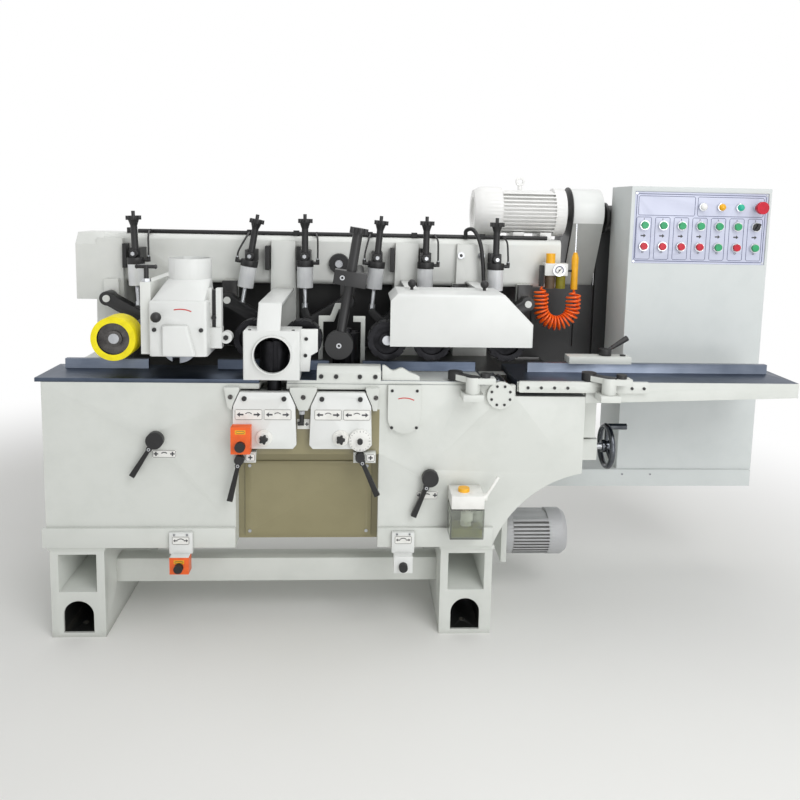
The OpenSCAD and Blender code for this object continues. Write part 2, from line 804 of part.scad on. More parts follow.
// Panel plate with lamps and the bezels of the buttons
module control_panel() {
  lamp_colors = ["#f4f4f0", "#f2b31b", "#27b99a"];
  color("#d8d8ea") {
    box([panel_x0, panel_y, panel_z1 - panel_h], [panel_x0 + panel_w, panel_y + panel_t, panel_z1]);
    for (i = [0:6], z = but_z)
      bezel(but_x0 + i * button_pitch, z);
    bezel(lamp_x[3], lamp_z);
  }
  for (i = [0:2])
    color(lamp_colors[i]) {
      rod_y(lamp_x[i], lamp_z, panel_y - bezel_len, panel_y, button_d + 4);
      translate([lamp_x[i], panel_y - bezel_len, lamp_z])
        sphere(d = button_d);
    }
}

// Ring that guides a push button
module bezel(x, z) {
  difference() {
    rod_y(x, z, panel_y - bezel_len, panel_y, 2 * bezel_r);
    rod_y(x, z, panel_y - bezel_len - eps, panel_y + eps / 2, button_d + 2 * button_gap);
  }
}

// Push button in its bezel, clear of the panel by its travel
module push_button(x, z) {
  rod_y(x, z, panel_y - bezel_len - 6, panel_y - button_travel - 1, button_d);
}

module estop_button() {
  color("#c8102e") {
    rod_y(lamp_x[3], lamp_z, panel_y - bezel_len - 14, panel_y - button_travel - 2, button_d);
    rod_y(lamp_x[3], lamp_z, panel_y - bezel_len - 26, panel_y - bezel_len - 12, 42);
  }
}

module selector_switch() {
  x = but_x0 + 6 * button_pitch;
  color(dark) {
    rod_y(x, but_z[0], panel_y - bezel_len - 3, panel_y - 1, button_d);
    translate([x, 0, but_z[0]])
      rotate([0, 30, 0])
        box([-4, panel_y - bezel_len - 13, -13], [4, panel_y - bezel_len - 2, 13]);
  }
}

// Hood over the infeed rollers
module infeed_guard() {
  cl = 22;
  cr = 90;
  k = sheet * 0.586;
  color(paint) {
    difference() {
      front_slab(ig_y0, ig_y1)
        polygon(chamfer_top(ig_x0, ig_x1, ig_z0, ig_z1, cl, cr));
      front_slab(ig_y0 + sheet, ig_y1 + 9)
        polygon(chamfer_top(ig_x0 - 9, ig_x1 - sheet, ig_z0 - 9, ig_z1 - sheet, cl - k + 9, cr - k));
    }
    for (x = strap_x)
      box([x - 20, ig_y1 - 50, ig_z1 - sheet], [x + 20, col_y0, ig_z1 + 3]);
  }
  color(dark)
    for (x = strap_x) {
      translate([x, ig_y0 + 120, ig_z1])
        cylinder(d = 10, h = 14);
      translate([x, ig_y0 + 120, ig_z1 + 20])
        sphere(d = 26);
    }
}

// Hood over the top cutter, drawn up into a round duct
module left_dust_hood() {
  x1 = lh_x0 + lh_w;
  inner = duct_r - sheet;
  color(paint) {
    difference() {
      box([lh_x0, lh_y0, lh_z0], [x1, lh_y1, lh_z1]);
      box([lh_x0 + sheet, lh_y0 + sheet, lh_z0 - 9], [x1 - sheet, lh_y1 - sheet, lh_z1 - sheet]);
      rod_y(top_x, top_z, lh_y1 - sheet - eps, lh_y1 + eps, spindle_d + 20);
      translate([duct_x, duct_y, lh_z1 - sheet - eps])
        cylinder(r = inner, h = sheet + 2 * eps);
    }
    difference() {
      hull() {
        translate([0, 0, lh_z1])
          box([lh_x0 + 8, lh_y0 + 8, 0], [x1 - 8, lh_y1 - 8, 1]);
        translate([duct_x, duct_y, duct_z0 - 1])
          cylinder(r = duct_r, h = 1, $fn = 32);
      }
      translate([duct_x, duct_y, lh_z1 - 1])
        cylinder(r = inner, h = duct_z0 - lh_z1 + 2);
    }
    difference() {
      translate([duct_x, duct_y, duct_z0])
        cylinder(r = duct_r, h = duct_h);
      translate([duct_x, duct_y, duct_z0 - 1])
        cylinder(r = inner, h = duct_h + 2);
    }
    // raised cover on the front with its foot
    front_slab(lh_y0 - 18, lh_y0)
      polygon([[top_x - 42, lh_z0 + 2], [top_x + 52, lh_z0 + 2],
               [top_x + 28, lh_z0 + 92], [top_x - 42, lh_z0 + 92]]);
    for (x = [lh_x0 + 16, x1 - 16])
      screw_front(x, lh_z0 + 78, lh_y0);
  }
  color(dark) {
    rod_y(lh_x0 + 28, lh_z0 + 118, lh_y0 - 20, lh_y0, 10);
    translate([lh_x0 + 28, lh_y0 - 28, lh_z0 + 118])
      sphere(d = 30);
  }
}

// Hood over the front cutter with its round port and the strap that carries it
module front_dust_hood() {
  x1 = fh_x0 + fh_w;
  z0 = table_h + 2;
  z1 = z0 + fh_h;
  px = fh_x0 + fh_w / 2 + 3;
  strap_z = pivot_z + 27;
  color(paint) {
    difference() {
      union() {
        box([fh_x0, fh_y0, z0], [x1, fh_y1, z1]);
        rod_y(px, port_z, fh_y0 - lip, fh_y0 + eps, 2 * (port_r + lip_t));
      }
      box([fh_x0 + sheet, fh_y0 + sheet, z0 - 9], [x1 - sheet, fh_y1 + 9, z1 - sheet]);
      rod_y(px, port_z, fh_y0 - lip - eps, fh_y0 + sheet + eps, 2 * port_r);
    }
    // hinge bracket beside the hood
    front_slab(fh_y0 + 40, fh_y0 + 54)
      polygon([[x1 - eps, z1], [x1 + 50, z1], [x1 + 50, z1 - 67], [x1 + 30, z1 - 79],
               [x1 + 26, z1 - 127], [x1 - eps, z1 - 127]]);
    side_slab(cols[1][0] + 14, cols[1][0] + cols[1][1] - 10)
      polygon([[fh_y0 + 16, z1 - 1], [fh_y0 + 60, strap_z], [col_y0, strap_z], [col_y0, strap_z + 10],
               [fh_y0 + 54, strap_z + 10], [fh_y0 + 4, z1 - 1]]);
  }
}

// Air cylinders

function clevis_x(i) = roll_x[i] + clevis_dx[i];
function lean(i) = atan2(cyl_top_x[i] - clevis_x(i), knob_z - clevis_z);

// Places children at a cylinder's clevis, with +Z along its axis
module on_cylinder(i) {
  translate([clevis_x(i), cyl_y, clevis_z])
    rotate([0, lean(i), 0])
      children();
}

// Sets of barrel, bracket and stroke knob, one above each feed arm
module air_cylinders() {
  barrel_z = 66;
  barrel_h = 72;
  cap_h = 22;
  bracket_z = 172;
  stop_z = 286;
  for (i = [0:5]) {
    on_cylinder(i) {
      color("#c9ccce")
        difference() {
          translate([0, 0, barrel_z])
            cylinder(d = barrel_d, h = barrel_h);
          translate([0, 0, barrel_z - 1])
            cylinder(d = barrel_d - 8, h = barrel_h - 10);
        }
      color(dark) {
        translate([0, 0, barrel_z + barrel_h])
          cylinder(d = barrel_d + 4, h = cap_h);
        translate([0, 0, barrel_z + barrel_h + cap_h])
          cylinder(d = 34, h = stop_z - barrel_z - barrel_h - cap_h);
        translate([0, 0, stop_z])
          star_knob(52, 14);
        translate([0, 0, stop_z + 14])
          cylinder(d = 12, h = 16);
      }
    }
    color(dark) {
      bx = clevis_x(i) + tan(lean(i)) * bracket_z;
      box([bx - 18, cyl_y - 8, clevis_z + bracket_z - 20], [bx + 18, beam_y0, clevis_z + bracket_z + 20]);
    }
  }
}

// Filter, regulator and oiler set with the air line along the beam
module air_supply() {
  line_y = beam_y0 + 22;
  line_z = beam_z1 + air_line_d / 2;
  x0 = 905;
  color("#e8e8e4") {
    box([x0 - 15, frl_y - 22, beam_z0 + 50], [x0 + 65, frl_y + 22, beam_z0 + 92]);
    box([x0 - 15, frl_y + 22, beam_z0 + 60], [beam_x1 - 4, beam_y0, beam_z0 + 80]);
    rod_y(x0 + 32, beam_z0 + 70, frl_y - 34, frl_y - 22, 42);
  }
  color("#6b5a48")
    translate([x0 + 8, frl_y, beam_z0 + 4])
      cylinder(d = 34, h = 46);
  color("#7f7a20")
    translate([x0 + 46, frl_y, beam_z0 + 4])
      cylinder(d = 34, h = 46);
  color("#f0a020")
    translate([x0 + 8, frl_y, beam_z0 + 92])
      cylinder(d = 32, h = 34);
  color(dark) {
    // elbow to the curly hose, gun hook and the line on the beam
    box([hose_x0 - 9, frl_y - 9, hose_top0], [x0 - 15, frl_y + 9, beam_z0 + 84]);
    rod_x(line_y, line_z, cyl_top_x[0] - 10, x0 + 8, air_line_d);
    for (x = cyl_top_x)
      box([x - 46, line_y - 11, beam_z1], [x - 26, line_y + 11, line_z + 11]);
    box([x0 + 65, frl_y - 4, beam_z0 + 62], [hose_x1 + 4, frl_y + 4, beam_z0 + 70]);
  }
}

// Blow gun hanging on its hook, nozzle up
module air_gun() {
  grip_d = 24;
  z0 = hose_top1;
  color("#f5b51e") {
    difference() {
      translate([hose_x1, hose_y, z0])
        cylinder(d = grip_d, h = 112);
      box([hose_x1 - 30, hose_y - 4.4, beam_z0 + 61.6], [hose_x1 + 4.4, hose_y + 4.4, beam_z0 + 70.4]);
    }
    translate([hose_x1, hose_y, z0 + 112])
      cylinder(d1 = grip_d, d2 = 12, h = 18);
  }
  color("#d8d8d8")
    translate([hose_x1, hose_y, z0 + 130])
      cylinder(d = 6, h = 100);
}

// Curly hose: a helix wound round a hanging U, straight at both ends

hose_bend_r = (hose_x1 - hose_x0) / 2;
hose_run0 = hose_top0 - hose_bend_z;
hose_arc = PI * hose_bend_r;
hose_run1 = hose_top1 - hose_bend_z;
hose_len = hose_run0 + hose_arc + hose_run1;
hose_lead = hose_d * 1.2;
hose_steps = 8 * curl_count;

// Point of the U and the direction across it, at a distance from the elbow
function hose_mid(s) =
  s < hose_run0 ? [hose_x0, hose_y, hose_top0 - s]
  : s < hose_run0 + hose_arc
    ? let (a = 180 + (s - hose_run0) / hose_arc * 180)
        [hose_x0 + hose_bend_r + hose_bend_r * cos(a), hose_y, hose_bend_z + hose_bend_r * sin(a)]
    : [hose_x1, hose_y, hose_bend_z + s - hose_run0 - hose_arc];
function hose_across(s) =
  let (a = 180 * max(0, min(1, (s - hose_run0) / hose_arc)))
    [-cos(a), 0, -sin(a)];

// Radius of the curls, drawn in at both ends
function hose_swell(t) = curl_r * min(1, t * curl_count, (1 - t) * curl_count);

function hose_point(k) =
  let (t = k / hose_steps, s = hose_lead + t * (hose_len - 2 * hose_lead), a = k * 45)
    hose_mid(s) + hose_swell(t) * (cos(a) * hose_across(s) + sin(a) * [0, 1, 0]);
hose_path = concat([hose_mid(0)], [for (k = [0:hose_steps]) hose_point(k)], [hose_mid(hose_len)]);
hose_last = len(hose_path) - 1;

function unit(v) = v / norm(v);
function hose_tangent(i) =
  i == 0 ? [0, 0, -1]
  : i == hose_last ? [0, 0, 1]
  : unit(hose_path[i + 1] - hose_path[i - 1]);
function hose_ring(i) =
  let (t = hose_tangent(i), a = (i - 1) * 45, s = hose_len * i / hose_last,
       w = cos(a) * hose_across(s) + sin(a) * [0, 1, 0],
       u = unit(w - (w * t) * t), v = cross(t, u))
    [for (j = [0:5]) hose_path[i] + hose_d / 2 * (cos(j * 60) * u + sin(j * 60) * v)];

// Least gap between two turns of the hose, measured on its points
hose_gap = min([for (i = [0:hose_last], j = [i + 5:1:hose_last]) norm(hose_path[i] - hose_path[j])]) - hose_d;
echo(hose_gap = hose_gap);

module air_hose() {
  rings = [for (i = [0:hose_last]) hose_ring(i)];
  pts = [for (r = rings, p = r) p];
  color("#ff5a14")
    polyhedron(
      points = concat(pts, [hose_path[0], hose_path[hose_last]]),
      faces = concat(
        [for (i = [0:hose_last - 1], j = [0:5]) [i * 6 + j, i * 6 + (j + 1) % 6, (i + 1) * 6 + j]],
        [for (i = [0:hose_last - 1], j = [0:5])
          [i * 6 + (j + 1) % 6, (i + 1) * 6 + (j + 1) % 6, (i + 1) * 6 + j]],
        [for (j = [0:5]) [len(pts), (j + 1) % 6, j]],
        [for (j = [0:5]) [len(pts) + 1, hose_last * 6 + j, hose_last * 6 + (j + 1) % 6]]));
}

// Hand pump lubricator on the bed's front
lub_x = 570;
lub_y0 = y_front - 92;
lub_z1 = ped_h + flange_h + 131;

module lubricator() {
  color("#e6e6e2") {
    box([lub_x - 48, lub_y0, lub_z1 - 40], [lub_x + 48, y_front, lub_z1]);
    translate([lub_x - 8, lub_y0 + 40, lub_z1 - eps])
      cylinder(d = 34, h = 12 + eps);
    // neck that joins the bowl to the block
    box([lub_x - 40, lub_y0 + 12, lub_z1 - 40 - eps], [lub_x + 40, y_front - 24, lub_z1 - 40 + eps]);
  }
  color("#3f4a2c")
    difference() {
      side_slab(lub_x - 50, lub_x + 50)
        polygon([[lub_y0 + 2, lub_z1 - 40], [y_front - 14, lub_z1 - 40],
                 [y_front - 16, lub_z1 - 135], [lub_y0 + 6, lub_z1 - 135]]);
      box([lub_x - 46, lub_y0 + 9, lub_z1 - 130], [lub_x + 46, y_front - 20, lub_z1 - 46]);
    }
}

// Lever that works the pump, turning on a pin across its block
module pump_lever() {
  px = lub_x + 52;
  color("#e6e6e2") {
    rod_x(lub_y0 + 30, lub_z1 - 14, px - 3.6, px + 8, 22);
    translate([px + 4, lub_y0 + 30, lub_z1 - 14])
      rotate([-20, 0, 0])
        rotate([0, 35, 0])
          cylinder(d = 9, h = 70);
  }
}

// Side heads: front plates, quills, scale dials and counters
module side_head_plates() {
  y0 = y_front - head_t;
  for (i = [0, 1]) {
    h = heads[i];
    c = i == 0 ? left_xy : right_xy;
    color(paint)
      difference() {
        union() {
          front_slab(y0, y_front)
            polygon([[h[0] + 10, head_z0], [h[0] + h[1] - 10, head_z0], [h[0] + h[1], head_z0 + 12],
                     [h[0] + h[1] - 4, head_z1 - 40], [h[0] + h[1] - 22, head_z1],
                     [h[0] + 22, head_z1], [h[0] + 4, head_z1 - 40], [h[0], head_z0 + 12]]);
          box([c[0] - 42, y_front - eps, head_z0 + 40], [c[0] + 42, c[1] + 42, head_z1 - 8]);
          for (x = [h[0] + 36, h[0] + h[1] - 36])
            screw_front(x, head_z1 - 18, y0, 14, 6);
        }
        translate([c[0], c[1], head_z0])
          cylinder(d = spindle_d + 2 * shaft_clear, h = 200);
      }
    color("#f4f4f0")
      rod_y(h[0] + h[1] / 2, head_z0 + 34, y0 - 14, y0, 34);
    color(dark)
      translate([h[0] + h[1] / 2, y0 - 14, head_z0 + 34])
        rotate([90, 0, 0])
          star_knob(26, 14);
  }
  // scale dial on the right plate and digit counter on the left one
  color("#f4f4f0")
    rod_y(dial_pos[0], dial_pos[1], y0 - boss_t, y0, 66);
  color(dark) {
    rod_y(dial_pos[0], dial_pos[1], y0 - boss_t - 14, y0 - boss_t, 16);
    rod_y(counter_pos[0], counter_pos[1] - 16, y0 - counter_t - 14, y0 - counter_t, 30);
  }
  color("#f0641e")
    box([counter_pos[0] - 28, y0 - counter_t, counter_pos[1] - 40],
        [counter_pos[0] + 28, y0, counter_pos[1] + 40]);
  under_counter(-273, "#f0641e");
  under_counter(387, "#a4a49f");
}

// Bracket on the flange band with a counter or knob block below it
module under_counter(x, shade) {
  y1 = y_front - 12;
  z1 = ped_h + 52;
  color(paint)
    box([x - 34, y1 - 14, z1 - 64], [x + 34, y1, z1]);
  color(shade)
    box([x - 28, y1 - 40, z1 - 116], [x + 28, y1 - 2, z1 - 64]);
  color(dark)
    rod_y(x, z1 - 94, y1 - 56, y1 - 40, 26);
}

// Hold down post with its wheel
module press_post() {
  py = (roll_y0 + roll_y1) / 2;
  foot = [185, table_h + stock_t + 43];
  head = [238, table_h + 428];
  tilt = atan2(head[0] - foot[0], head[1] - foot[1]);
  long = norm(head - foot);
  clamp_s = long * 0.6;
  cx = foot[0] + sin(tilt) * clamp_s;
  cz = foot[1] + cos(tilt) * clamp_s;
  color(dark) {
    translate([foot[0], py, foot[1]])
      rotate([0, tilt, 0]) {
        cylinder(d = 30, h = long);
        translate([0, 0, long])
          star_knob(60, 18);
      }
    rod_y(foot[0], foot[1], py - roller_w / 2, py + roller_w / 2, 86);
    translate([cx, py, cz])
      rotate([0, tilt, 0])
        box([-50, -26, -22], [50, 26, 22]);
    rod_y(cx + 30, cz, py, beam_y0, 26);
  }
}

// Spindles

// Shaft with cutter above the table and a pulley at its foot
module side_spindle(c) {
  pulley_h = 40;
  color(steel) {
    translate([c[0], c[1], table_h + 3])
      cutter(side_cutter_d, side_cutter_h);
    translate([c[0], c[1], head_z0 + 38])
      cylinder(d = spindle_d, h = table_h - head_z0 - 34);
    translate([c[0], c[1], head_z0 + 39 - pulley_h])
      cylinder(d = 60, h = pulley_h);
    translate([c[0], c[1], table_h + 3 + side_cutter_h])
      cylinder(d = 34, h = 12);
  }
}

module bottom_spindle() {
  y0 = pocket_y0 + 3;
  color(steel) {
    translate([bottom_x, y0, bottom_z])
      rotate([-90, 0, 0])
        cutter(bottom_cutter_d, fence_y - y0 - 2);
    rod_y(bottom_x, bottom_z, y_front - cap_t + cap_skin + seat_gap, y_rear + 50, spindle_d);
    rod_y(bottom_x, bottom_z, y_rear + 8, y_rear + 50, 80);
  }
}

module top_spindle() {
  color(steel) {
    translate([top_x, cutter_y0, top_z])
      rotate([-90, 0, 0])
        cutter(top_cutter_d, cutter_len);
    rod_y(top_x, top_z, cutter_y0 + cutter_len - 1, col_y0 + 40, spindle_d);
    rod_y(top_x, top_z, col_y0 + 4, col_y0 + 40, 76);
  }
}

// Feed arms and rollers

// Arm from the pivot pin to the axle, with the piston rod's clevis
module feed_arm(i) {
  boss_d = pivot_d + 24;
  axle_boss = axle_d + 26;
  ax = [roll_x[i], roll_z[i]];
  pv = [pivot_x[i], pivot_z];
  cl = [clevis_x(i), clevis_z - 14];
  color("#2a2a2c")
    difference() {
      union() {
        front_slab(arm_y0, arm_y1)
          slot_2d(ax, pv, 20);
        rod_y(ax[0], ax[1], arm_y0, arm_y1, axle_boss);
        rod_y(pv[0], pv[1], arm_y0, arm_y1, boss_d);
        front_slab(cyl_y - 12, cyl_y + 12)
          slot_2d(ax, cl, 13);
      }
      rod_y(ax[0], ax[1], arm_y0 - 9, arm_y1 + 9, axle_d + 2 * shaft_clear);
      rod_y(pv[0], pv[1], arm_y0 - 9, arm_y1 + 9, pivot_d + 2 * shaft_clear);
    }
  color("#d0d2d4")
    on_cylinder(i) {
      translate([0, 0, -10])
        cylinder(d = rod_d, h = 92);
      translate([0, 0, -14])
        cylinder(d = rod_d + 8, h = 26);
    }
}

// Roller, its axle through the arm, and the drive wheel behind
module feed_roller(i) {
  w = i == 0 ? soft_roller_w : roller_w;
  y0 = i == 0 ? roll_y1 - 20 - soft_roller_w : roll_y0;
  r = roll_r[i];
  color(i == 0 ? "#f6e600" : "#3a3a3d")
    difference() {
      rod_y(roll_x[i], roll_z[i], y0, y0 + w, 2 * r);
      rod_y(roll_x[i], roll_z[i], y0 - eps, y0 + 14, 2 * (r - 18));
      if (i > 0)
        for (k = [0:11])
          translate([roll_x[i], 0, roll_z[i]])
            rotate([0, k * 30, 0])
              box([r - 3, y0 - eps, -2.5], [r + 3, y0 + w + eps, 2.5]);
    }
  color(steel) {
    rod_y(roll_x[i], roll_z[i], y0 + 4, arm_y1 + 7, axle_d);
    rod_y(roll_x[i], roll_z[i], y0 + 6, y0 + 14, axle_d + 18);
    rod_y(roll_x[i], roll_z[i], arm_y1 + 2, arm_y1 + 6, axle_d + 14);
  }
}

// Infeed table with its fence, front rail and vertical slide
module infeed_table() {
  apron_t = 15;
  rail_x1 = inf_x0 + 400;
  slide_x0 = bed_r + slide_clear;
  color(steel) {
    box([inf_x0, y_front, inf_z0], [inf_x1, y_front + table_d, table_h]);
    box([inf_x0 + 60, fence_y, table_h], [inf_x1 - 30, fence_y + fence_t, table_h + fence_h]);
  }
  color(paint) {
    front_slab(y_front, y_front + apron_t)
      polygon([[slide_x0, inf_z0], [inf_x1, inf_z0], [inf_x1, table_h - 45], [slide_x0, table_h - apron_h]]);
    front_slab(y_front - 14, y_front)
      translate([inf_x0 + 3, inf_z0])
        round_rect(rail_x1 - inf_x0 - 3, table_t + 3, 5);
    box([slide_x0, y_front + 60, wheel_pos[2] + 34 + table_travel + 2],
        [slide_x0 + 54, y_front + 200, inf_z0]);
    for (x = [inf_x0 + 30, inf_x0 + 70, inf_x0 + 110, inf_x0 + 150, rail_x1 - 55, rail_x1 - 18])
      screw_front(x, inf_z0 + table_t / 2, y_front - 14, 9, 3);
    presser_shelf(presser_x[1]);
    // cast bar that clamps the fence
    box([bed_r - 20, fence_y - 12, table_h + fence_h],
        [bed_r + 180, fence_y + fence_t + 26, table_h + fence_h + 22]);
  }
}

module infeed_handwheel() {
  rim_d = 18;
  rim_r = (wheel_d - rim_d) / 2;
  color(dark)
    translate(wheel_pos)
      rotate([0, 90, 0]) {
        rotate_extrude()
          translate([rim_r, 0])
            circle(d = rim_d);
        for (a = [60, 180, 300])
          rotate(a)
            rotate([0, 90, 0])
              translate([0, 0, 12])
                cylinder(d = 13, h = rim_r - 14);
        translate([0, 0, -16])
          cylinder(d = 40, h = 32);
      }
  color(steel)
    rod_x(wheel_pos[1], wheel_pos[2], bed_r + 8, wheel_pos[0] - 14, shaft_d);
  color(dark)
    rod_x(wheel_pos[1], wheel_pos[2] + rim_r, wheel_pos[0] + 5, wheel_pos[0] + 62, 20);
}

// Lever that clamps the fence
fence_lever_pos = [bed_r + 105, fence_y + 24, table_h + fence_h + 22.4];
module fence_clamp_lever() {
  color(dark)
    translate(fence_lever_pos) {
      cylinder(d = 40, h = 20);
      translate([0, 0, 10])
        rotate([0, 62, 15]) {
          cylinder(d = 11, h = 40);
          translate([0, 0, 30])
            cylinder(d1 = 13, d2 = 19, h = 60);
        }
    }
}

// Spring arm that presses stock to the fence, turning on a pin in its shelf
presser_x = [580, 985];
presser_pin_d = 16;
presser_z = table_h - 26;
presser_y = y_front - 44;
presser_clear = 0.3;

// Shelf on the front of the bed or the infeed table, with the pin that carries a presser
module presser_shelf(x) {
  box([x - 30, presser_y - 24, presser_z - 20], [x + 30, y_front + eps, presser_z]);
  translate([x, presser_y, presser_z - eps])
    cylinder(d = presser_pin_d, h = 34);
}

module side_presser(i) {
  x = presser_x[i];
  z = presser_z + presser_clear;
  arm_z = table_h + 6;
  color(paint) {
    difference() {
      union() {
        translate([x, presser_y, z])
          cylinder(d = 42, h = arm_z + 18 - z);
        translate([x, presser_y, arm_z])
          rotate([0, 0, 132])
            translate([0, -16, 0])
              cube([64, 32, 18]);
        box([x, presser_y - 18, arm_z - 2], [x + 64, presser_y + 18, arm_z + 16]);
      }
      translate([x, presser_y, z - eps])
        cylinder(d = presser_pin_d + 2 * shaft_clear, h = 40);
    }
  }
  color(dark) {
    translate([x - 46, presser_y + 51, arm_z - 1])
      cylinder(d = 44, h = 24);
    translate([x + 36, presser_y, arm_z + 16])
      cylinder(d = 30, h = 12);
  }
}

module start_button(i) {
  color("#2fa36b")
    push_button(but_x0 + i * button_pitch, but_z[0]);
}

module stop_button(i) {
  color(i == 4 || i == 6 ? "#2fa36b" : "#c8102e")
    push_button(but_x0 + i * button_pitch, but_z[1]);
}

module clamp_lever(i) {
  color(dark)
    translate([lever_x[i], lever_y[i] - 0.4, lever_z[i]])
      rotate([0, -lever_turn[i], 0])
        hand_lever(lever_len, lever_hub[i]);
}

stand();
bed_casting();
access_panels();
table_plates();
feed_beam();
motors();
belt_guard();
control_cabinet();
control_panel();
infeed_guard();
left_dust_hood();
front_dust_hood();
air_cylinders();
air_supply();
lubricator();
side_head_plates();
press_post();
air_hose();
air_gun();
bottom_spindle();
side_spindle(right_xy);  // right_spindle
side_spindle(left_xy);  // left_spindle
top_spindle();
infeed_table();
infeed_handwheel();
fence_clamp_lever();
side_presser(0);  // side_presser_1
side_presser(1);  // side_presser_2
pump_lever();
estop_button();
selector_switch();
for (i = [0:5]) feed_arm(i);
for (i = [0:5]) feed_roller(i);
for (i = [0:3]) clamp_lever(i);
for (i = [0:5]) start_button(i);
for (i = [0:6]) stop_button(i);
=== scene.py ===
import json
import math

import bmesh
import bpy
from mathutils import Matrix, Vector

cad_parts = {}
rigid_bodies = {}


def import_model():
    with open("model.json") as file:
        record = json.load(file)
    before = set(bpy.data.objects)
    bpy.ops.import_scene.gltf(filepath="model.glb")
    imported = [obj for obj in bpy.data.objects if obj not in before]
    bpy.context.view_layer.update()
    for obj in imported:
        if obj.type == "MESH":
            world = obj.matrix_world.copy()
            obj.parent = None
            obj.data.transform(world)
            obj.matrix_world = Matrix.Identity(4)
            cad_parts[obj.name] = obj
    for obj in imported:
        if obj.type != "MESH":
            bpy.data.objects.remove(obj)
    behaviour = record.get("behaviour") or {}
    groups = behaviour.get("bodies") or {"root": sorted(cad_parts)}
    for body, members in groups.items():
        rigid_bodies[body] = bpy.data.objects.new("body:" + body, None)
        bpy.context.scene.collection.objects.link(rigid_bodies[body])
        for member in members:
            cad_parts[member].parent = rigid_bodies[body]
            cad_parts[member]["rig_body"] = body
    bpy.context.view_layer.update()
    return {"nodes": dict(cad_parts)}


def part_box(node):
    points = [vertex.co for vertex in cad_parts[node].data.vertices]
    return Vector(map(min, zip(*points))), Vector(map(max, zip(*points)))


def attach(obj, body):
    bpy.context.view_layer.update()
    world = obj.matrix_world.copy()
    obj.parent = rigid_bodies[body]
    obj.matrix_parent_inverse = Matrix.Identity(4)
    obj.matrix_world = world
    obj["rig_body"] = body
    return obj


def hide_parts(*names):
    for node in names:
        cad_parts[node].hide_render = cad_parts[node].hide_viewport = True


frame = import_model()
nodes = frame["nodes"]
scene = bpy.context.scene
mm = 0.001
print("frame loaded:", len(nodes), "nodes")


# camera of the photograph, placed by the machine's own frame
cameraView = {
    "place": (241, -2523, 1313),  # mm
    "yaw": 3.19,  # degrees towards the infeed end
    "pitch": 7.03,  # degrees down
    "roll": -1.2,
    "picture": 800,  # pixels along a side
    "focal": 760,  # pixels
    "centreRow": 300,  # row of the principal point
    "sensor": 36,  # mm
    "farthest": 60,  # m
}


def addCamera(view):
    yaw, pitch, roll = (math.radians(view[k]) for k in ("yaw", "pitch", "roll"))
    ahead = Vector((math.sin(yaw) * math.cos(pitch), math.cos(yaw) * math.cos(pitch), -math.sin(pitch)))
    right = Vector((math.cos(yaw), -math.sin(yaw), 0))
    down = ahead.cross(right)
    turnedRight = right * math.cos(roll) + down * math.sin(roll)
    turnedDown = down * math.cos(roll) - right * math.sin(roll)
    axes = Matrix((turnedRight, -turnedDown, -ahead)).transposed().to_4x4()
    data = bpy.data.cameras.new("photoCamera")
    data.sensor_width = view["sensor"]
    data.lens = view["focal"] / view["picture"] * view["sensor"]
    data.shift_y = (view["centreRow"] - view["picture"] / 2) / view["picture"]
    data.clip_end = view["farthest"]
    camera = bpy.data.objects.new("photoCamera", data)
    camera.matrix_world = Matrix.Translation(Vector(view["place"]) * mm) @ axes
    scene.collection.objects.link(camera)
    scene.camera = camera


addCamera(cameraView)


# colour and node helpers
def linear(colour):
    parts = [int(colour[i : i + 2], 16) / 255 for i in (1, 3, 5)]
    return [p / 12.92 if p <= 0.04045 else ((p + 0.055) / 1.055) ** 2.4 for p in parts] + [1.0]


def addNode(tree, kind, settings=None, links=None):
    node = tree.nodes.new(kind)
    for key, value in (settings or {}).items():
        if isinstance(key, int) or key in node.inputs:
            node.inputs[key].default_value = value
        else:
            setattr(node, key, value)
    for key, source in (links or {}).items():
        tree.links.new(source, node.inputs[key])
    return node


def newMaterial(name):
    material = bpy.data.materials.new(name)
    material.use_nodes = True
    tree = material.node_tree
    tree.nodes.clear()
    return material, tree


# what ends every finish: gloss that wanders with one noise, relief from another, and the shader
def closeFinish(tree, spec, tint, sheen, relief, settings):
    low, high = spec["glossSpread"]
    gloss = addNode(tree, "ShaderNodeMapRange", {"To Min": spec["rough"] + low, "To Max": spec["rough"] + high},
                    {"Value": sheen.outputs["Fac"]})
    bump = addNode(tree, "ShaderNodeBump", {"Strength": spec["bump"], "Distance": spec["depth"] * mm},
                   {"Height": relief.outputs["Fac"]})
    shader = addNode(tree, "ShaderNodeBsdfPrincipled", settings,
                     {"Base Color": tint.outputs[2], "Roughness": gloss.outputs["Result"],
                      "Normal": bump.outputs["Normal"]})
    addNode(tree, "ShaderNodeOutputMaterial", {}, {"Surface": shader.outputs["BSDF"]})


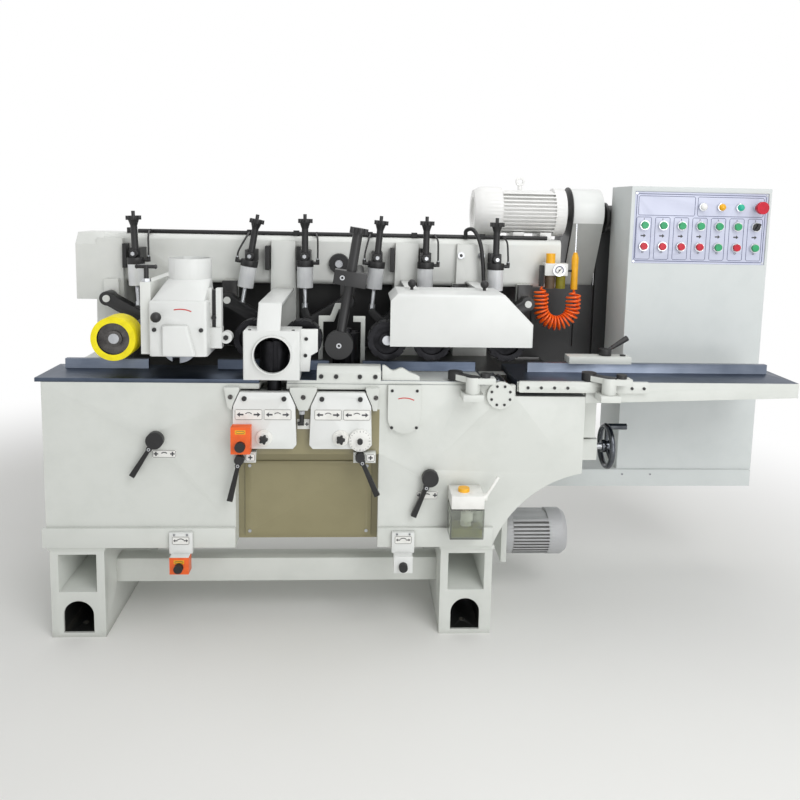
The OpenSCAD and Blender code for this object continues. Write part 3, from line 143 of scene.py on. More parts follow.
# another colour inside a box given by its two corners in mm
def boxTint(tree, coords, tint, second):
    low, high = Vector(second["low"]) * mm, Vector(second["high"]) * mm
    shifted = addNode(tree, "ShaderNodeVectorMath", {"operation": "SUBTRACT", 1: (low + high) / 2}, {0: coords})
    folded = addNode(tree, "ShaderNodeVectorMath", {"operation": "ABSOLUTE"}, {0: shifted.outputs["Vector"]})
    beyond = addNode(tree, "ShaderNodeVectorMath", {"operation": "SUBTRACT", 1: (high - low) / 2},
                     {0: folded.outputs["Vector"]})
    axes = addNode(tree, "ShaderNodeSeparateXYZ", {}, {0: beyond.outputs["Vector"]})
    level = addNode(tree, "ShaderNodeMath", {"operation": "MAXIMUM"}, {0: axes.outputs["X"], 1: axes.outputs["Y"]})
    most = addNode(tree, "ShaderNodeMath", {"operation": "MAXIMUM"},
                   {0: level.outputs["Value"], 1: axes.outputs["Z"]})
    within = addNode(tree, "ShaderNodeMath", {"operation": "LESS_THAN", 1: 0.0}, {0: most.outputs["Value"]})
    return addNode(tree, "ShaderNodeMix", {"data_type": "RGBA", 7: linear(second["colour"])},
                   {"Factor": within.outputs["Value"], 6: tint.outputs[2]})


# sprayed coats: mottled colour, orange peel, painted shade in corners (found by ambient occlusion, in a grey-brown
# tone) and rubbed edges, sizes in mm
coatDefaults = {
    "patch": 90, "mottle": 0.5, "mottleBand": {"From Min": 0.45, "From Max": 0.8},
    "peel": 5, "bump": 0.12, "depth": 0.4,  # peel drawn coarser than its real 1 to 2 mm, so that it shows
    # painted shade in corners: how far the ambient occlusion reaches, how strong it is, its band and its grey-brown
    # tone
    "cornerShadeReach": 45, "cornerShade": 0.55, "cornerShadeBand": {"From Min": 0.75, "From Max": 0.15}, "cornerShadeTone": "#6f6c62",
    "wearReach": 3, "wear": 0.35, "edgeBand": {"From Min": 0.985, "From Max": 0.86, "To Max": 1.0},
    "chipBand": {"From Min": 0.5, "From Max": 0.68}, "bare": "#8d8f8e",
    "rough": 0.38, "glossSpread": (-0.06, 0.10), "coat": 0.0, "ior": 1.5, "boxes": (),
}


def enamel(name, spec):
    material, tree = newMaterial(name)
    coords = addNode(tree, "ShaderNodeTexCoord").outputs["Object"]
    patch = addNode(tree, "ShaderNodeTexNoise", {"Scale": 1000 / spec["patch"], "Detail": 4.0, "Roughness": 0.6},
                    {"Vector": coords})
    peel = addNode(tree, "ShaderNodeTexNoise", {"Scale": 1000 / spec["peel"], "Detail": 2.0}, {"Vector": coords})
    spread = addNode(tree, "ShaderNodeMapRange", {**spec["mottleBand"], "To Max": spec["mottle"]},
                     {"Value": patch.outputs["Fac"]})
    tint = addNode(tree, "ShaderNodeMix", {"data_type": "RGBA", 6: linear(spec["colour"]), 7: linear(spec["shade"])},
                   {"Factor": spread.outputs["Result"]})
    for second in spec["boxes"]:
        tint = boxTint(tree, coords, tint, second)
    # painted shade: the coat darkens towards a grey-brown tone where ambient occlusion finds corners and gaps
    corner = addNode(tree, "ShaderNodeAmbientOcclusion", {"samples": 4, "Distance": spec["cornerShadeReach"] * mm})
    cornerShadeMask = addNode(tree, "ShaderNodeMapRange", {**spec["cornerShadeBand"], "To Max": spec["cornerShade"]},
                        {"Value": corner.outputs["AO"]})
    cornerShaded = addNode(tree, "ShaderNodeMix", {"data_type": "RGBA", 7: linear(spec["cornerShadeTone"])},
                    {"Factor": cornerShadeMask.outputs["Result"], 6: tint.outputs[2]})
    smooth = addNode(tree, "ShaderNodeBevel", {"samples": 3, "Radius": spec["wearReach"] * mm})
    flat = addNode(tree, "ShaderNodeNewGeometry")
    agree = addNode(tree, "ShaderNodeVectorMath", {"operation": "DOT_PRODUCT"},
                    {0: smooth.outputs["Normal"], 1: flat.outputs["Normal"]})
    edge = addNode(tree, "ShaderNodeMapRange", spec["edgeBand"], {"Value": agree.outputs["Value"]})
    chips = addNode(tree, "ShaderNodeMapRange", {**spec["chipBand"], "To Max": spec["wear"]},
                    {"Value": patch.outputs["Fac"]})
    rub = addNode(tree, "ShaderNodeMath", {"operation": "MULTIPLY"},
                  {0: edge.outputs["Result"], 1: chips.outputs["Result"]})
    worn = addNode(tree, "ShaderNodeMix", {"data_type": "RGBA", 7: linear(spec["bare"])},
                   {"Factor": rub.outputs["Value"], 6: cornerShaded.outputs[2]})
    closeFinish(tree, spec, worn, patch, peel, {"IOR": spec["ior"], "Coat Weight": spec["coat"]})
    return material


# bare metal: drawn or ground lines along one axis, stain clouds
metalDefaults = {"lineShare": 0.45, "tintBand": {"From Min": 0.45, "From Max": 0.95}, "glossSpread": (-0.08, 0.12),
                 "bump": 0.15, "depth": 0.1, "metallic": 1.0}


def bareMetal(name, spec):
    material, tree = newMaterial(name)
    coords = addNode(tree, "ShaderNodeTexCoord").outputs["Object"]
    lay = addNode(tree, "ShaderNodeMapping", {"Scale": [1000 / g for g in spec["grain"]]}, {"Vector": coords})
    lines = addNode(tree, "ShaderNodeTexNoise", {"Scale": 1.0, "Detail": 3.0}, {"Vector": lay.outputs["Vector"]})
    cloud = addNode(tree, "ShaderNodeTexNoise", {"Scale": 1000 / spec["stain"], "Detail": 5.0}, {"Vector": coords})
    blend = addNode(tree, "ShaderNodeMath", {"operation": "MULTIPLY_ADD", 1: spec["lineShare"]},
                    {0: lines.outputs["Fac"], 2: cloud.outputs["Fac"]})
    mask = addNode(tree, "ShaderNodeMapRange", spec["tintBand"], {"Value": blend.outputs["Value"]})
    tint = addNode(tree, "ShaderNodeMix", {"data_type": "RGBA", 6: linear(spec["colour"]), 7: linear(spec["shade"])},
                   {"Factor": mask.outputs["Result"]})
    closeFinish(tree, spec, tint, lines, lines, {"Metallic": spec["metallic"]})
    return material


# moulded plastic and rubber: fine mould texture, hand marks in the gloss
plasticDefaults = {"tintBand": {"From Min": 0.45, "From Max": 0.75}, "glossSpread": (-0.06, 0.12), "depth": 0.2,
                   "ior": 1.5, "clear": 0.0}


def moulded(name, spec):
    material, tree = newMaterial(name)
    coords = addNode(tree, "ShaderNodeTexCoord").outputs["Object"]
    grain = addNode(tree, "ShaderNodeTexNoise", {"Scale": 1000 / spec["grain"], "Detail": 2.0}, {"Vector": coords})
    marks = addNode(tree, "ShaderNodeTexNoise", {"Scale": 1000 / spec["marks"], "Detail": 4.0}, {"Vector": coords})
    spread = addNode(tree, "ShaderNodeMapRange", spec["tintBand"], {"Value": marks.outputs["Fac"]})
    tint = addNode(tree, "ShaderNodeMix", {"data_type": "RGBA", 6: linear(spec["colour"]), 7: linear(spec["shade"])},
                   {"Factor": spread.outputs["Result"]})
    closeFinish(tree, spec, tint, marks, grain, {"IOR": spec["ior"], "Transmission Weight": spec["clear"]})
    return material


def tinted(colour, corners):
    return [{"low": low, "high": high, "colour": colour} for low, high in corners]


castPaint = {"colour": "#d6d9d4", "shade": "#c8ccc6", "coat": 0.15}
coats = {
    # filled and sprayed castings: soft pale grey, satin, a little wavy
    "castEnamel": castPaint,
    # the same, with the olive bay, and the deck, step and spindle bay painted near black for the shade under the beam:
    # painted shade
    "bedEnamel": {**castPaint, "boxes": tinted("#8f8867", [((-115, -326, 270), (310, -200, 712))]) + tinted("#2b2b2a", [
        # painted shade: deck, step and spindle bay in near black
        ((-560, -125, 780), (716.6, 276, 790)), ((716, -58, 748), (931, 284, 760)),
        ((620, -299, 700), (716.6, -175, 788.5))])},
    # the castings' coat painted paler for the light on the beam (painted light), with the arm lugs painted black for
    # the shade under the beam (painted shade)
    "beamEnamel": {"colour": "#e3e5e1", "shade": "#d6d9d4", "coat": 0.15, "boxes": tinted("#222223", [
        ((x - 26, 105, 955), (x + 26, 129.8, 1047)) for x in (-202, 204, 423, 600, 830)])},
    # the castings' coat, painted black inside the arches for the shade there: painted shade
    "standEnamel": {**castPaint, "boxes": tinted("#1e1f1e", [
        ((x - 45.5, -312, 5), (x + 45.5, 400, 116)) for x in (-585, 585)])},
    # sprayed sheet: paler and flatter than the castings
    "sheetEnamel": {"colour": "#e2e4e2", "shade": "#d5d8d5", "patch": 140, "coat": 0.15},
    # powder coat: fine even texture, dull
    "cabinetCoat": {"colour": "#d0d5d4", "shade": "#c6cccb", "peel": 2.5, "rough": 0.5},
    # sprayed panel: earthy olive, satin
    "oliveEnamel": {"colour": "#8f8867", "shade": "#837c5c"},
    # sprayed motor housing: clean white, light gloss, with light painted shade in its corners
    "motorEnamel": {"colour": "#ececea", "shade": "#dfdfdc", "coat": 0.2, "cornerShade": 0.15, "cornerShadeTone": "#b4b4b0"},
    # painted shade on the belt guard's lower half: its sheet in mid grey
    "guardShade": {"colour": "#a9aba8", "shade": "#999b98"},
    # sprayed aluminium housing: cool mid grey
    "lowMotorEnamel": {"colour": "#b4b5b7", "shade": "#a2a4a6"},
    # sprayed black steel: soft sheen, rubbed grey at the edges, weak painted shade in corners
    "blackEnamel": {"colour": "#222223", "shade": "#2b2b2c", "cornerShadeTone": "#1a1917", "bare": "#5d5d5c", "cornerShade": 0.3},
    # printed polyester foil: even lilac grey, smooth and unworn, faint painted shade in corners
    "panelFoil": {"colour": "#c9cde0", "shade": "#c2c6db", "rough": 0.33, "cornerShade": 0.2, "wear": 0.0, "bump": 0.03},
}

# the lines of metal are drawn coarser than their real 0.1 to 0.3 mm, so that they show
metalKeys = ("colour", "shade", "grain", "stain", "rough", "metallic")
metals = {
    "tableSteel": ("#5c6574", "#485160", (60, 1.2, 1.2), 70, 0.36),  # ground plate: blue grey, lines along the feed
    "fenceSteel": ("#7e8694", "#67707f", (60, 1.2, 1.2), 70, 0.34),  # the same, painted brighter for the sheen seen on the fences: painted sheen
    "brightSteel": ("#c9cbce", "#a9acb0", (2, 2, 12), 40, 0.28),  # turned and plated: pale, crisp highlights
    "cutterSteel": ("#a7abb2", "#868b93", (2, 20, 2), 40, 0.3),  # ground tool steel: cool grey
    "darkSteel": ("#6b6967", "#4c4a4a", (3, 10, 3), 30, 0.45),  # oiled steel: brownish, dull
    "blackenedSteel": ("#343437", "#242426", (3, 10, 3), 30, 0.5),  # near black with a soft sheen: painted shade on the side spindles in their hoods and on the rollers under the beam
    "barrelAluminium": ("#f3f4f5", "#e3e6e8", (3, 3, 30), 50, 0.36, 0.15),  # anodised: its skin scatters most light
    "darkChrome": ("#6d7075", "#4f5257", (4, 4, 4), 40, 0.2),  # plated rim painted dark grey for the dark surroundings it mirrors: painted reflection, with bright lines
    "chrome": ("#e4e6e8", "#d2d5d8", (4, 4, 4), 40, 0.14),  # chrome plate: near mirror
}

# mould texture is drawn coarser than its real 0.2 mm, so that it shows
plasticKeys = ("colour", "shade", "grain", "marks", "rough", "bump", "clear")
plastics = {
    "blackPlastic": ("#19191a", "#222223", 1.2, 30, 0.42, 0.15),  # filled nylon: matt black, faint pebble
    "phenolicResin": ("#141414", "#1e1d1c", 4, 40, 0.2, 0.05),  # deep glossy black: painted shade in the sockets and slots of the screw heads
    "whitePlastic": ("#ecece8", "#dfdfda", 1.5, 30, 0.38, 0.1),  # moulded ABS: warm white, satin
    "orangePlastic": ("#f0641e", "#dd5716", 1.5, 25, 0.36, 0.1),  # moulded ABS: strong orange, satin
    "yellowRubber": ("#f6e600", "#e6d400", 2, 25, 0.5, 0.2),  # cast polyurethane: vivid yellow, waxy
    "hoseTube": ("#ff6a16", "#f7560c", 6, 40, 0.22, 0.03),  # drawn polyurethane: bright orange, glossy
    "gunYellow": ("#f5b51e", "#e6a513", 1.5, 30, 0.34, 0.1),  # moulded nylon: warm yellow, satin
    "redPlastic": ("#c8102e", "#b20d28", 2, 15, 0.28, 0.05),  # moulded cap: deep red, glossy
    "greenPlastic": ("#2fa36b", "#27915e", 2, 15, 0.28, 0.05),  # moulded cap: cool green, glossy
    "amberLens": ("#f2b31b", "#e7a612", 3, 12, 0.2, 0.2),  # ribbed lens: amber with broken highlights
    "tealLens": ("#27b99a", "#1fa78a", 3, 12, 0.2, 0.2),  # ribbed lens: blue green
    "whiteLens": ("#f2f2ee", "#e4e4e0", 3, 12, 0.2, 0.2),  # ribbed lens: milky
    "brownBowl": ("#6b5a48", "#594a3a", 8, 20, 0.2, 0.03),  # tinted bowl: brown, glossy
    "oliveBowl": ("#8a8326", "#736d1c", 8, 20, 0.2, 0.03),  # bowl full of oil: olive, glossy
    "oilBowl": ("#e4e8e0", "#d8ddd2", 9, 30, 0.1, 0.02, 0.9),  # clear acrylic: pale, seen through
    "pumpOil": ("#a3a43c", "#8c8d2c", 9, 30, 0.1, 0.02, 0.4),  # oil: half clear olive
    "inkBlue": ("#3a4470", "#343d66", 3, 20, 0.45, 0.02),  # screen print: dull blue
    "inkGrey": ("#3c3c40", "#47474b", 3, 20, 0.45, 0.02),  # screen print: dull dark grey
    "inkRed": ("#c8342f", "#b52d29", 3, 20, 0.45, 0.02),  # screen print: dull red
}
finishes = {name: enamel(name, {**coatDefaults, **spec}) for name, spec in coats.items()}
for name, row in metals.items():
    finishes[name] = bareMetal(name, {**metalDefaults, **dict(zip(metalKeys, row))})
for name, row in plastics.items():
    finishes[name] = moulded(name, {**plasticDefaults, **dict(zip(plasticKeys, row))})
print("finishes made:", len(finishes))


def bodyOf(nodeName):
    return nodes[nodeName]["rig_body"]


def plainMesh(piece):
    shape = bpy.data.meshes.new_from_object(piece.evaluated_get(bpy.context.evaluated_depsgraph_get()))
    piece.modifiers.clear()
    piece.data = shape
    return shape


def middleOf(nodeName):
    low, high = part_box(nodeName)
    return (low + high) / 2 / mm


# generous radius of the long outer corners of cast and folded pieces, in mm
castCorners = {"left_dust_hood": 7, "front_dust_hood": 8, "infeed_guard": 8, "side_presser_1": 5, "side_presser_2": 5}
cornerRule = {"breadth": 2.5, "length": 5, "angle": 50, "segments": 3}  # least sizes in radii, least angle in degrees


def roundCorners(shell, radius):
    def broad(edge):
        least = cornerRule["breadth"] * radius * mm
        return all(f.calc_area() / edge.calc_length() > least for f in edge.link_faces)

    outer = [e for e in shell.edges if e.is_manifold and e.calc_length() > cornerRule["length"] * radius * mm
             and e.calc_face_angle_signed() > math.radians(cornerRule["angle"]) and broad(e)]
    bmesh.ops.bevel(shell, geom=outer, offset=radius * mm, segments=cornerRule["segments"], profile=0.5,
                    affect="EDGES", clamp_overlap=True)


edgeRule = {"weld": 0.01, "flat": 0.4, "segments": 2, "roundFrom": 32, "sharpFrom": 28}  # mm and degrees


# a CAD node with its edges rounded over, its finish and the finishes of its marked zones
def dress(nodeName, edge, finish, zones=()):
    mesh = nodes[nodeName].data.copy()
    shell = bmesh.new()
    shell.from_mesh(mesh)
    bmesh.ops.remove_doubles(shell, verts=shell.verts, dist=edgeRule["weld"] * mm)
    bmesh.ops.dissolve_limit(shell, angle_limit=math.radians(edgeRule["flat"]), verts=shell.verts, edges=shell.edges)
    if nodeName in castCorners:
        roundCorners(shell, castCorners[nodeName])
    shell.to_mesh(mesh)
    shell.free()
    piece = bpy.data.objects.new(nodeName + "Shell", mesh)
    scene.collection.objects.link(piece)
    rounding = piece.modifiers.new("edges", "BEVEL")
    rounding.width = edge * mm
    rounding.segments = edgeRule["segments"]
    rounding.angle_limit = math.radians(edgeRule["roundFrom"])
    rounding.use_clamp_overlap = True
    shape = plainMesh(piece)
    shape.materials.clear()
    for name in [finish] + [z[0] for z in zones]:
        shape.materials.append(finishes[name])
    for face in shape.polygons:
        face.use_smooth = True
        face.material_index = 0
        corners = [shape.vertices[k].co / mm for k in face.vertices]
        for index, zone in enumerate(zones):
            if zone[1](face.center / mm, corners):
                face.material_index = index + 1
                break
    shape.set_sharp_from_angle(angle=math.radians(edgeRule["sharpFrom"]))
    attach(piece, bodyOf(nodeName))
    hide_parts(nodeName)
    return piece


# the part of a dressed piece above a height, as a piece of its own
def splitAbove(piece, height, name):
    for owner, keep in ((name, True), (piece.name, False)):
        mesh = piece.data.copy()
        half = bmesh.new()
        half.from_mesh(mesh)
        gone = [f for f in half.faces if (f.calc_center_median().z > height * mm) != keep]
        bmesh.ops.delete(half, geom=gone, context="FACES")
        half.to_mesh(mesh)
        half.free()
        if keep:
            upper = bpy.data.objects.new(owner, mesh)
        else:
            piece.data = mesh
    scene.collection.objects.link(upper)
    return upper


# places in mm that tell one finish from another inside a node
rollers = {"count": 6, "axle": 15.5, "tread": 17.5}  # radius of the axle's end, depth of the tread
lamps = {"row": 1332, "columns": (1402, 1466.5, 1531), "reach": 12.5, "lenses": ("whiteLens", "amberLens", "tealLens")}


def nearAxisY(x, z, radius):
    return lambda at, corners: all(math.hypot(c.x - x, c.z - z) < radius for c in corners)


def inside(low, high):
    return lambda at, corners: all(low[i] <= at[i] <= high[i] for i in range(3))


def nearAxis(foot, top, radius):
    along = (Vector(top) - Vector(foot)).normalized()
    return lambda at, corners: all((c - Vector(foot)).cross(along).length < radius for c in corners)


# the six cylinders lean from their clevises to their stop knobs
cylinders = {"topX": [-514, -103, 58, 316, 473, 715], "clevisX": [-503, -155, 60, 290, 470, 715], "y": 80,
             "clevisZ": 964, "knobZ": 1262, "rodReach": 14}
wide = 5000  # past every side of the machine
# each node: radius of its edges in mm, its finish and the zones of other finishes
dressing = {
    "stand": (3, "standEnamel", ()),
    "bed_casting": (4, "bedEnamel", ()),
    "access_panels": (1, "oliveEnamel", (
        # the rear sheet in black: painted shade seen between the beam and the table
        ("blackEnamel", inside((-wide, 0, 0), (wide, wide, wide))),
        ("brightSteel", inside((-wide, -wide, 0), (wide, -266.1, wide))))),
    "table_plates": (1.2, "tableSteel", (
        ("castEnamel", inside((100, -wide, 799.9), (440, -255, wide))),
        ("castEnamel", inside((100, -158, 799.9), (300, -144, wide))),
        # the left fence in brighter steel: painted sheen
        ("fenceSteel", inside((-wide, -186, 800.1), (-390, -166, 830.3))))),
    # the beam's coat is painted paler: painted light
    "feed_beam": (5, "beamEnamel", ()),
    "motors": (1.5, "motorEnamel", (("lowMotorEnamel", inside((-wide, -wide, 0), (wide, wide, 500))),)),
    "belt_guard": (2, "sheetEnamel", (
        ("blackEnamel", inside((0, 0, 0), (1006.9, wide, wide))),
        ("blackEnamel", inside((1119.3, 0, 0), (wide, wide, wide))),
        # painted shade: the guard's lower half in mid grey
        ("guardShade", inside((0, 0, 0), (wide, wide, 1165))))),
    "control_cabinet": (2.5, "cabinetCoat", ()),
    "control_panel": (0.8, "panelFoil", (
        *[(lens, nearAxisY(x, lamps["row"], lamps["reach"])) for lens, x in zip(lamps["lenses"], lamps["columns"])],
        ("chrome", inside((0, -wide, 0), (wide, 14.4, wide))))),
    "infeed_guard": (3, "sheetEnamel", (("blackPlastic", inside((0, -wide, 1056.4), (wide, wide, wide))),)),
    "left_dust_hood": (4, "sheetEnamel", (
        ("blackPlastic", inside((-350, -wide, 968), (-312, -331, 1004))),
        ("blackEnamel", inside((-352, -335.5, 939), (-333, -330.2, 953))),
        ("blackEnamel", inside((-219, -335.5, 939), (-200, -330.2, 953))))),
    "front_dust_hood": (4, "sheetEnamel", ()),
    "air_cylinders": (1.2, "blackPlastic", (("barrelAluminium", inside((-wide, -wide, 1029), (wide, wide, 1101))),)),
    "air_supply": (1.5, "blackPlastic", (
        ("whitePlastic", inside((889, 82, 1084.2), (971, 151, 1126.2))),
        ("gunYellow", inside((890, 80, 1126), (935, 130, wide))),
        ("brownBowl", inside((894, 80, 0), (932, 130, 1084.2))),
        ("oliveBowl", inside((932, 80, 0), (972, 130, 1084.2))),
        ("chrome", inside((900, 0, 1070), (970, 82, 1140))))),
    "lubricator": (2, "whitePlastic", (
        ("oilBowl", inside((0, -wide, 0), (wide, wide, 439.8))),
        ("gunYellow", inside((0, -wide, 480.4), (wide, wide, wide))))),
    "side_head_plates": (2, "sheetEnamel", (
        ("blackPlastic", inside((-wide, -wide, 738), (wide, -345.2, 760))),
        ("blackPlastic", inside((-wide, -wide, 590), (-60, -379.2, 640))),
        ("orangePlastic", inside((-120.5, -wide, 591), (-63.5, -345.2, 672.5))),
        ("blackPlastic", inside((240, -wide, 610), (270, -355.2, 640))),
        ("blackPlastic", inside((-60, -wide, 600), (230, -359.2, 660))),
        ("whitePlastic", inside((-60, -wide, 590), (290, -345.2, 665))),
        ("blackPlastic", inside((-wide, -wide, 0), (wide, -372.2, 276))),
        ("orangePlastic", inside((-302, -wide, 0), (-244, wide, 275.8))))),
    "press_post": (1.5, "blackEnamel", ()),
    "bottom_spindle": (0.5, "cutterSteel", ()),
    # the side spindles in near black steel: painted shade inside the hoods
    "right_spindle": (0.5, "blackenedSteel", ()),
    "left_spindle": (0.5, "blackenedSteel", ()),
    "top_spindle": (0.5, "cutterSteel", ()),
    "infeed_table": (1.5, "castEnamel", (
        ("blackEnamel", inside((0, -wide, 775), (wide, -334.2, 795))),
        ("tableSteel", inside((0, -319.6, 768), (wide, wide, 800.3))),
        # the fence in brighter steel: painted sheen
        ("fenceSteel", inside((0, -185.5, 800), (wide, -166.5, 830.3))))),
    # the handwheel rim in dark chrome: painted reflection
    "infeed_handwheel": (1, "darkChrome", (("brightSteel", inside((0, -wide, 0), (1025.6, wide, wide))),)),
    "fence_clamp_lever": (1, "blackPlastic", ()),
    "pump_lever": (1, "whitePlastic", ()),
    "estop_button": (1.5, "redPlastic", ()),
    "selector_switch": (1, "blackPlastic", ()),
    "air_gun": (1, "gunYellow", (("chrome", inside((0, 0, 1165.2), (wide, wide, wide))),)),
}
for i, x in enumerate((580, 985)):
    dressing[f"side_presser_{i + 1}"] = (2, "castEnamel", (
        ("blackPlastic", inside((-wide, -wide, 822.2), (wide, wide, wide))),
        ("blackPlastic", inside((x - 69, -336, 804), (x - 23.5, -290, 830)))))
for i in range(rollers["count"]):
    centre = middleOf(f"feed_roller_{i + 1}")
    # rollers 2 to 6 in near black steel: painted shade under the beam
    hub, tread = ("darkSteel", "yellowRubber") if i == 0 else ("blackenedSteel", "blackenedSteel")
    reach = (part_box(f"feed_roller_{i + 1}")[1].x / mm - centre.x) - rollers["tread"]
    dressing[f"feed_roller_{i + 1}"] = (1.2, tread, (
        ("brightSteel", nearAxisY(centre.x, centre.z, rollers["axle"])), (hub, nearAxisY(centre.x, centre.z, reach))))
    foot = (cylinders["clevisX"][i], cylinders["y"], cylinders["clevisZ"])
    top = (cylinders["topX"][i], cylinders["y"], cylinders["knobZ"])
    dressing[f"feed_arm_{i + 1}"] = (2, "blackEnamel", (("brightSteel", nearAxis(foot, top, cylinders["rodReach"])),))
    dressing[f"start_button_{i + 1}"] = (1.2, "greenPlastic", ())
for i in range(7):
    dressing[f"stop_button_{i + 1}"] = (1.2, "greenPlastic" if i in (4, 6) else "redPlastic", ())
for i in range(4):
    dressing[f"clamp_lever_{i + 1}"] = (1.5, "blackPlastic", ())
for nodeName, (edge, finish, zones) in dressing.items():
    dress(nodeName, edge, finish, zones)
print("nodes dressed:", len(dressing))

# running clearance of the bottom shaft in its bearings, in mm off the radius
shaft = {"piece": "bottom_spindleShell", "x": 670, "z": 759.5, "core": 10, "clearance": 0.4}
for vert in bpy.data.objects[shaft["piece"]].data.vertices:
    out = Vector((vert.co.x - shaft["x"] * mm, 0, vert.co.z - shaft["z"] * mm))
    if out.length > shaft["core"] * mm:
        vert.co -= out.normalized() * shaft["clearance"] * mm

# slim stop stems between the caps and the knobs
stems = {"radius": 17.6, "low": 158, "high": 290, "share": 0.66}
for top, foot in zip(cylinders["topX"], cylinders["clevisX"]):
    base = Vector((foot, cylinders["y"], cylinders["clevisZ"])) * mm
    axis = Vector((top - foot, 0, cylinders["knobZ"] - cylinders["clevisZ"])).normalized()
    for vert in bpy.data.objects["air_cylindersShell"].data.vertices:
        along = (vert.co - base).dot(axis)
        out = vert.co - base - axis * along
        if out.length < stems["radius"] * mm and stems["low"] * mm < along < stems["high"] * mm:
            vert.co = base + axis * along + out * stems["share"]


# curly air hose: a helix wound round a hanging U, from the elbow to the blow gun
hose = {"left": 885, "right": 1000, "y": 105, "topLeft": 1045, "topRight": 1035, "bend": 972, "tube": 7.5, "curl": 23,
        "turns": 22, "stepsPerTurn": 24, "lead": 9.0, "tubeSteps": 3}
gunCollar = 1165  # mm, where the nozzle leaves the grip


def hosePoints(h):
    radius = (h["right"] - h["left"]) / 2
    runs = (h["topLeft"] - h["bend"], math.pi * radius, h["topRight"] - h["bend"])
    total = sum(runs)

    def middle(s):
        angle = math.pi * min(1, max(0, (s - runs[0]) / runs[1]))
        across = Vector((-math.cos(angle), 0, -math.sin(angle)))
        if s < runs[0]:
            return Vector((h["left"], h["y"], h["topLeft"] - s)), across
        if s < runs[0] + runs[1]:
            x = h["left"] + radius - radius * math.cos(angle)
            return Vector((x, h["y"], h["bend"] - radius * math.sin(angle))), across
        return Vector((h["right"], h["y"], h["bend"] + s - runs[0] - runs[1])), across

    steps = h["turns"] * h["stepsPerTurn"]
    points = [middle(0)[0]]
    for k in range(steps + 1):
        t = k / steps
        centre, across = middle(h["lead"] + t * (total - 2 * h["lead"]))
        swell = h["curl"] * min(1, t * h["turns"], (1 - t) * h["turns"])
        turn = 2 * math.pi * k / h["stepsPerTurn"]
        points.append(centre + swell * (math.cos(turn) * across + math.sin(turn) * Vector((0, 1, 0))))
    points.append(middle(total)[0])
    return [p * mm for p in points]


gunNozzle = splitAbove(bpy.data.objects["air_gunShell"], gunCollar, "airGunNozzle")
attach(gunNozzle, bodyOf("air_gun"))
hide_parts("air_gun")
hosePath = hosePoints(hose)
hoseCurve = bpy.data.curves.new("airHoseCoil", "CURVE")
hoseCurve.dimensions = "3D"
hoseCurve.bevel_depth = hose["tube"] / 2 * mm
hoseCurve.bevel_resolution = hose["tubeSteps"]
hoseCurve.use_fill_caps = True
hoseLine = hoseCurve.splines.new("POLY")
hoseLine.points.add(len(hosePath) - 1)
for point, place in zip(hoseLine.points, hosePath):
    point.co = (*place, 1)
hoseLine.use_smooth = True
hoseCurve.materials.append(finishes["hoseTube"])
hosePiece = bpy.data.objects.new("airHoseCoil", hoseCurve)
scene.collection.objects.link(hosePiece)
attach(hosePiece, bodyOf("air_hose"))
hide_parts("air_hose")
hoseLength = sum((b - a).length for a, b in zip(hosePath, hosePath[1:]))
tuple(hosePath[0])
print("hose length:", round(hoseLength, 3))


# small pieces built from rods, plates, tubes and outlines, one mesh for each piece
printDepth = 0.4  # mm that a printed line stands proud
creaseAngle = 35  # degrees


def startPiece(*finishNames):
    return {"mesh": bmesh.new(), "finishes": list(finishNames)}


def markFaces(work, verts, finish):
    index = work["finishes"].index(finish)
    for vert in verts:
        for face in vert.link_faces:
            face.material_index = index


def addPlate(work, low, high, finish):
    centre = (Vector(low) + Vector(high)) / 2 * mm
    size = (Vector(high) - Vector(low)) * mm
    place = Matrix.Translation(centre) @ Matrix.Diagonal((*size, 1))
    made = bmesh.ops.create_cube(work["mesh"], size=1, matrix=place)
    markFaces(work, made["verts"], finish)


def addRod(work, start, end, radius, finish, tip=None, sides=28):
    start, end = Vector(start) * mm, Vector(end) * mm
    turn = (end - start).to_track_quat("Z", "Y").to_matrix().to_4x4()
    place = Matrix.Translation((start + end) / 2) @ turn
    tip = radius if tip is None else tip
    made = bmesh.ops.create_cone(work["mesh"], cap_ends=True, segments=sides, radius1=radius * mm, radius2=tip * mm,
                                 depth=(end - start).length, matrix=place)
    markFaces(work, made["verts"], finish)


# round tube along a smooth line through the given points
def addTube(work, points, radius, finish, sides=14, steps=10):
    points = [Vector(p) for p in points]
    ends = [2 * points[0] - points[1]] + points + [2 * points[-1] - points[-2]]
    line = []
    for a, b, c, d in zip(ends, ends[1:], ends[2:], ends[3:]):
        for k in range(steps):
            t = k / steps
            line.append(0.5 * (2 * b + (c - a) * t + (2 * a - 5 * b + 4 * c - d) * t**2
                               + (3 * b - a - 3 * c + d) * t**3))
    line.append(points[-1])
    across = (line[1] - line[0]).orthogonal().normalized()
    rings = []
    for k, place in enumerate(line):
        ahead = (line[min(k + 1, len(line) - 1)] - line[max(k - 1, 0)]).normalized()
        across = (across - ahead * across.dot(ahead)).normalized()
        beside = ahead.cross(across)
        turns = [math.tau * j / sides for j in range(sides)]
        rings.append([work["mesh"].verts.new((place + radius * (math.cos(t) * across + math.sin(t) * beside)) * mm)
                      for t in turns])
    made = [work["mesh"].faces.new(rings[0][::-1]), work["mesh"].faces.new(rings[-1])]
    for low, high in zip(rings, rings[1:]):
        for j in range(sides):
            n = (j + 1) % sides
            made.append(work["mesh"].faces.new((low[j], low[n], high[n], high[j])))
    bmesh.ops.recalc_face_normals(work["mesh"], faces=made)
    markFaces(work, [vert for ring in rings for vert in ring], finish)


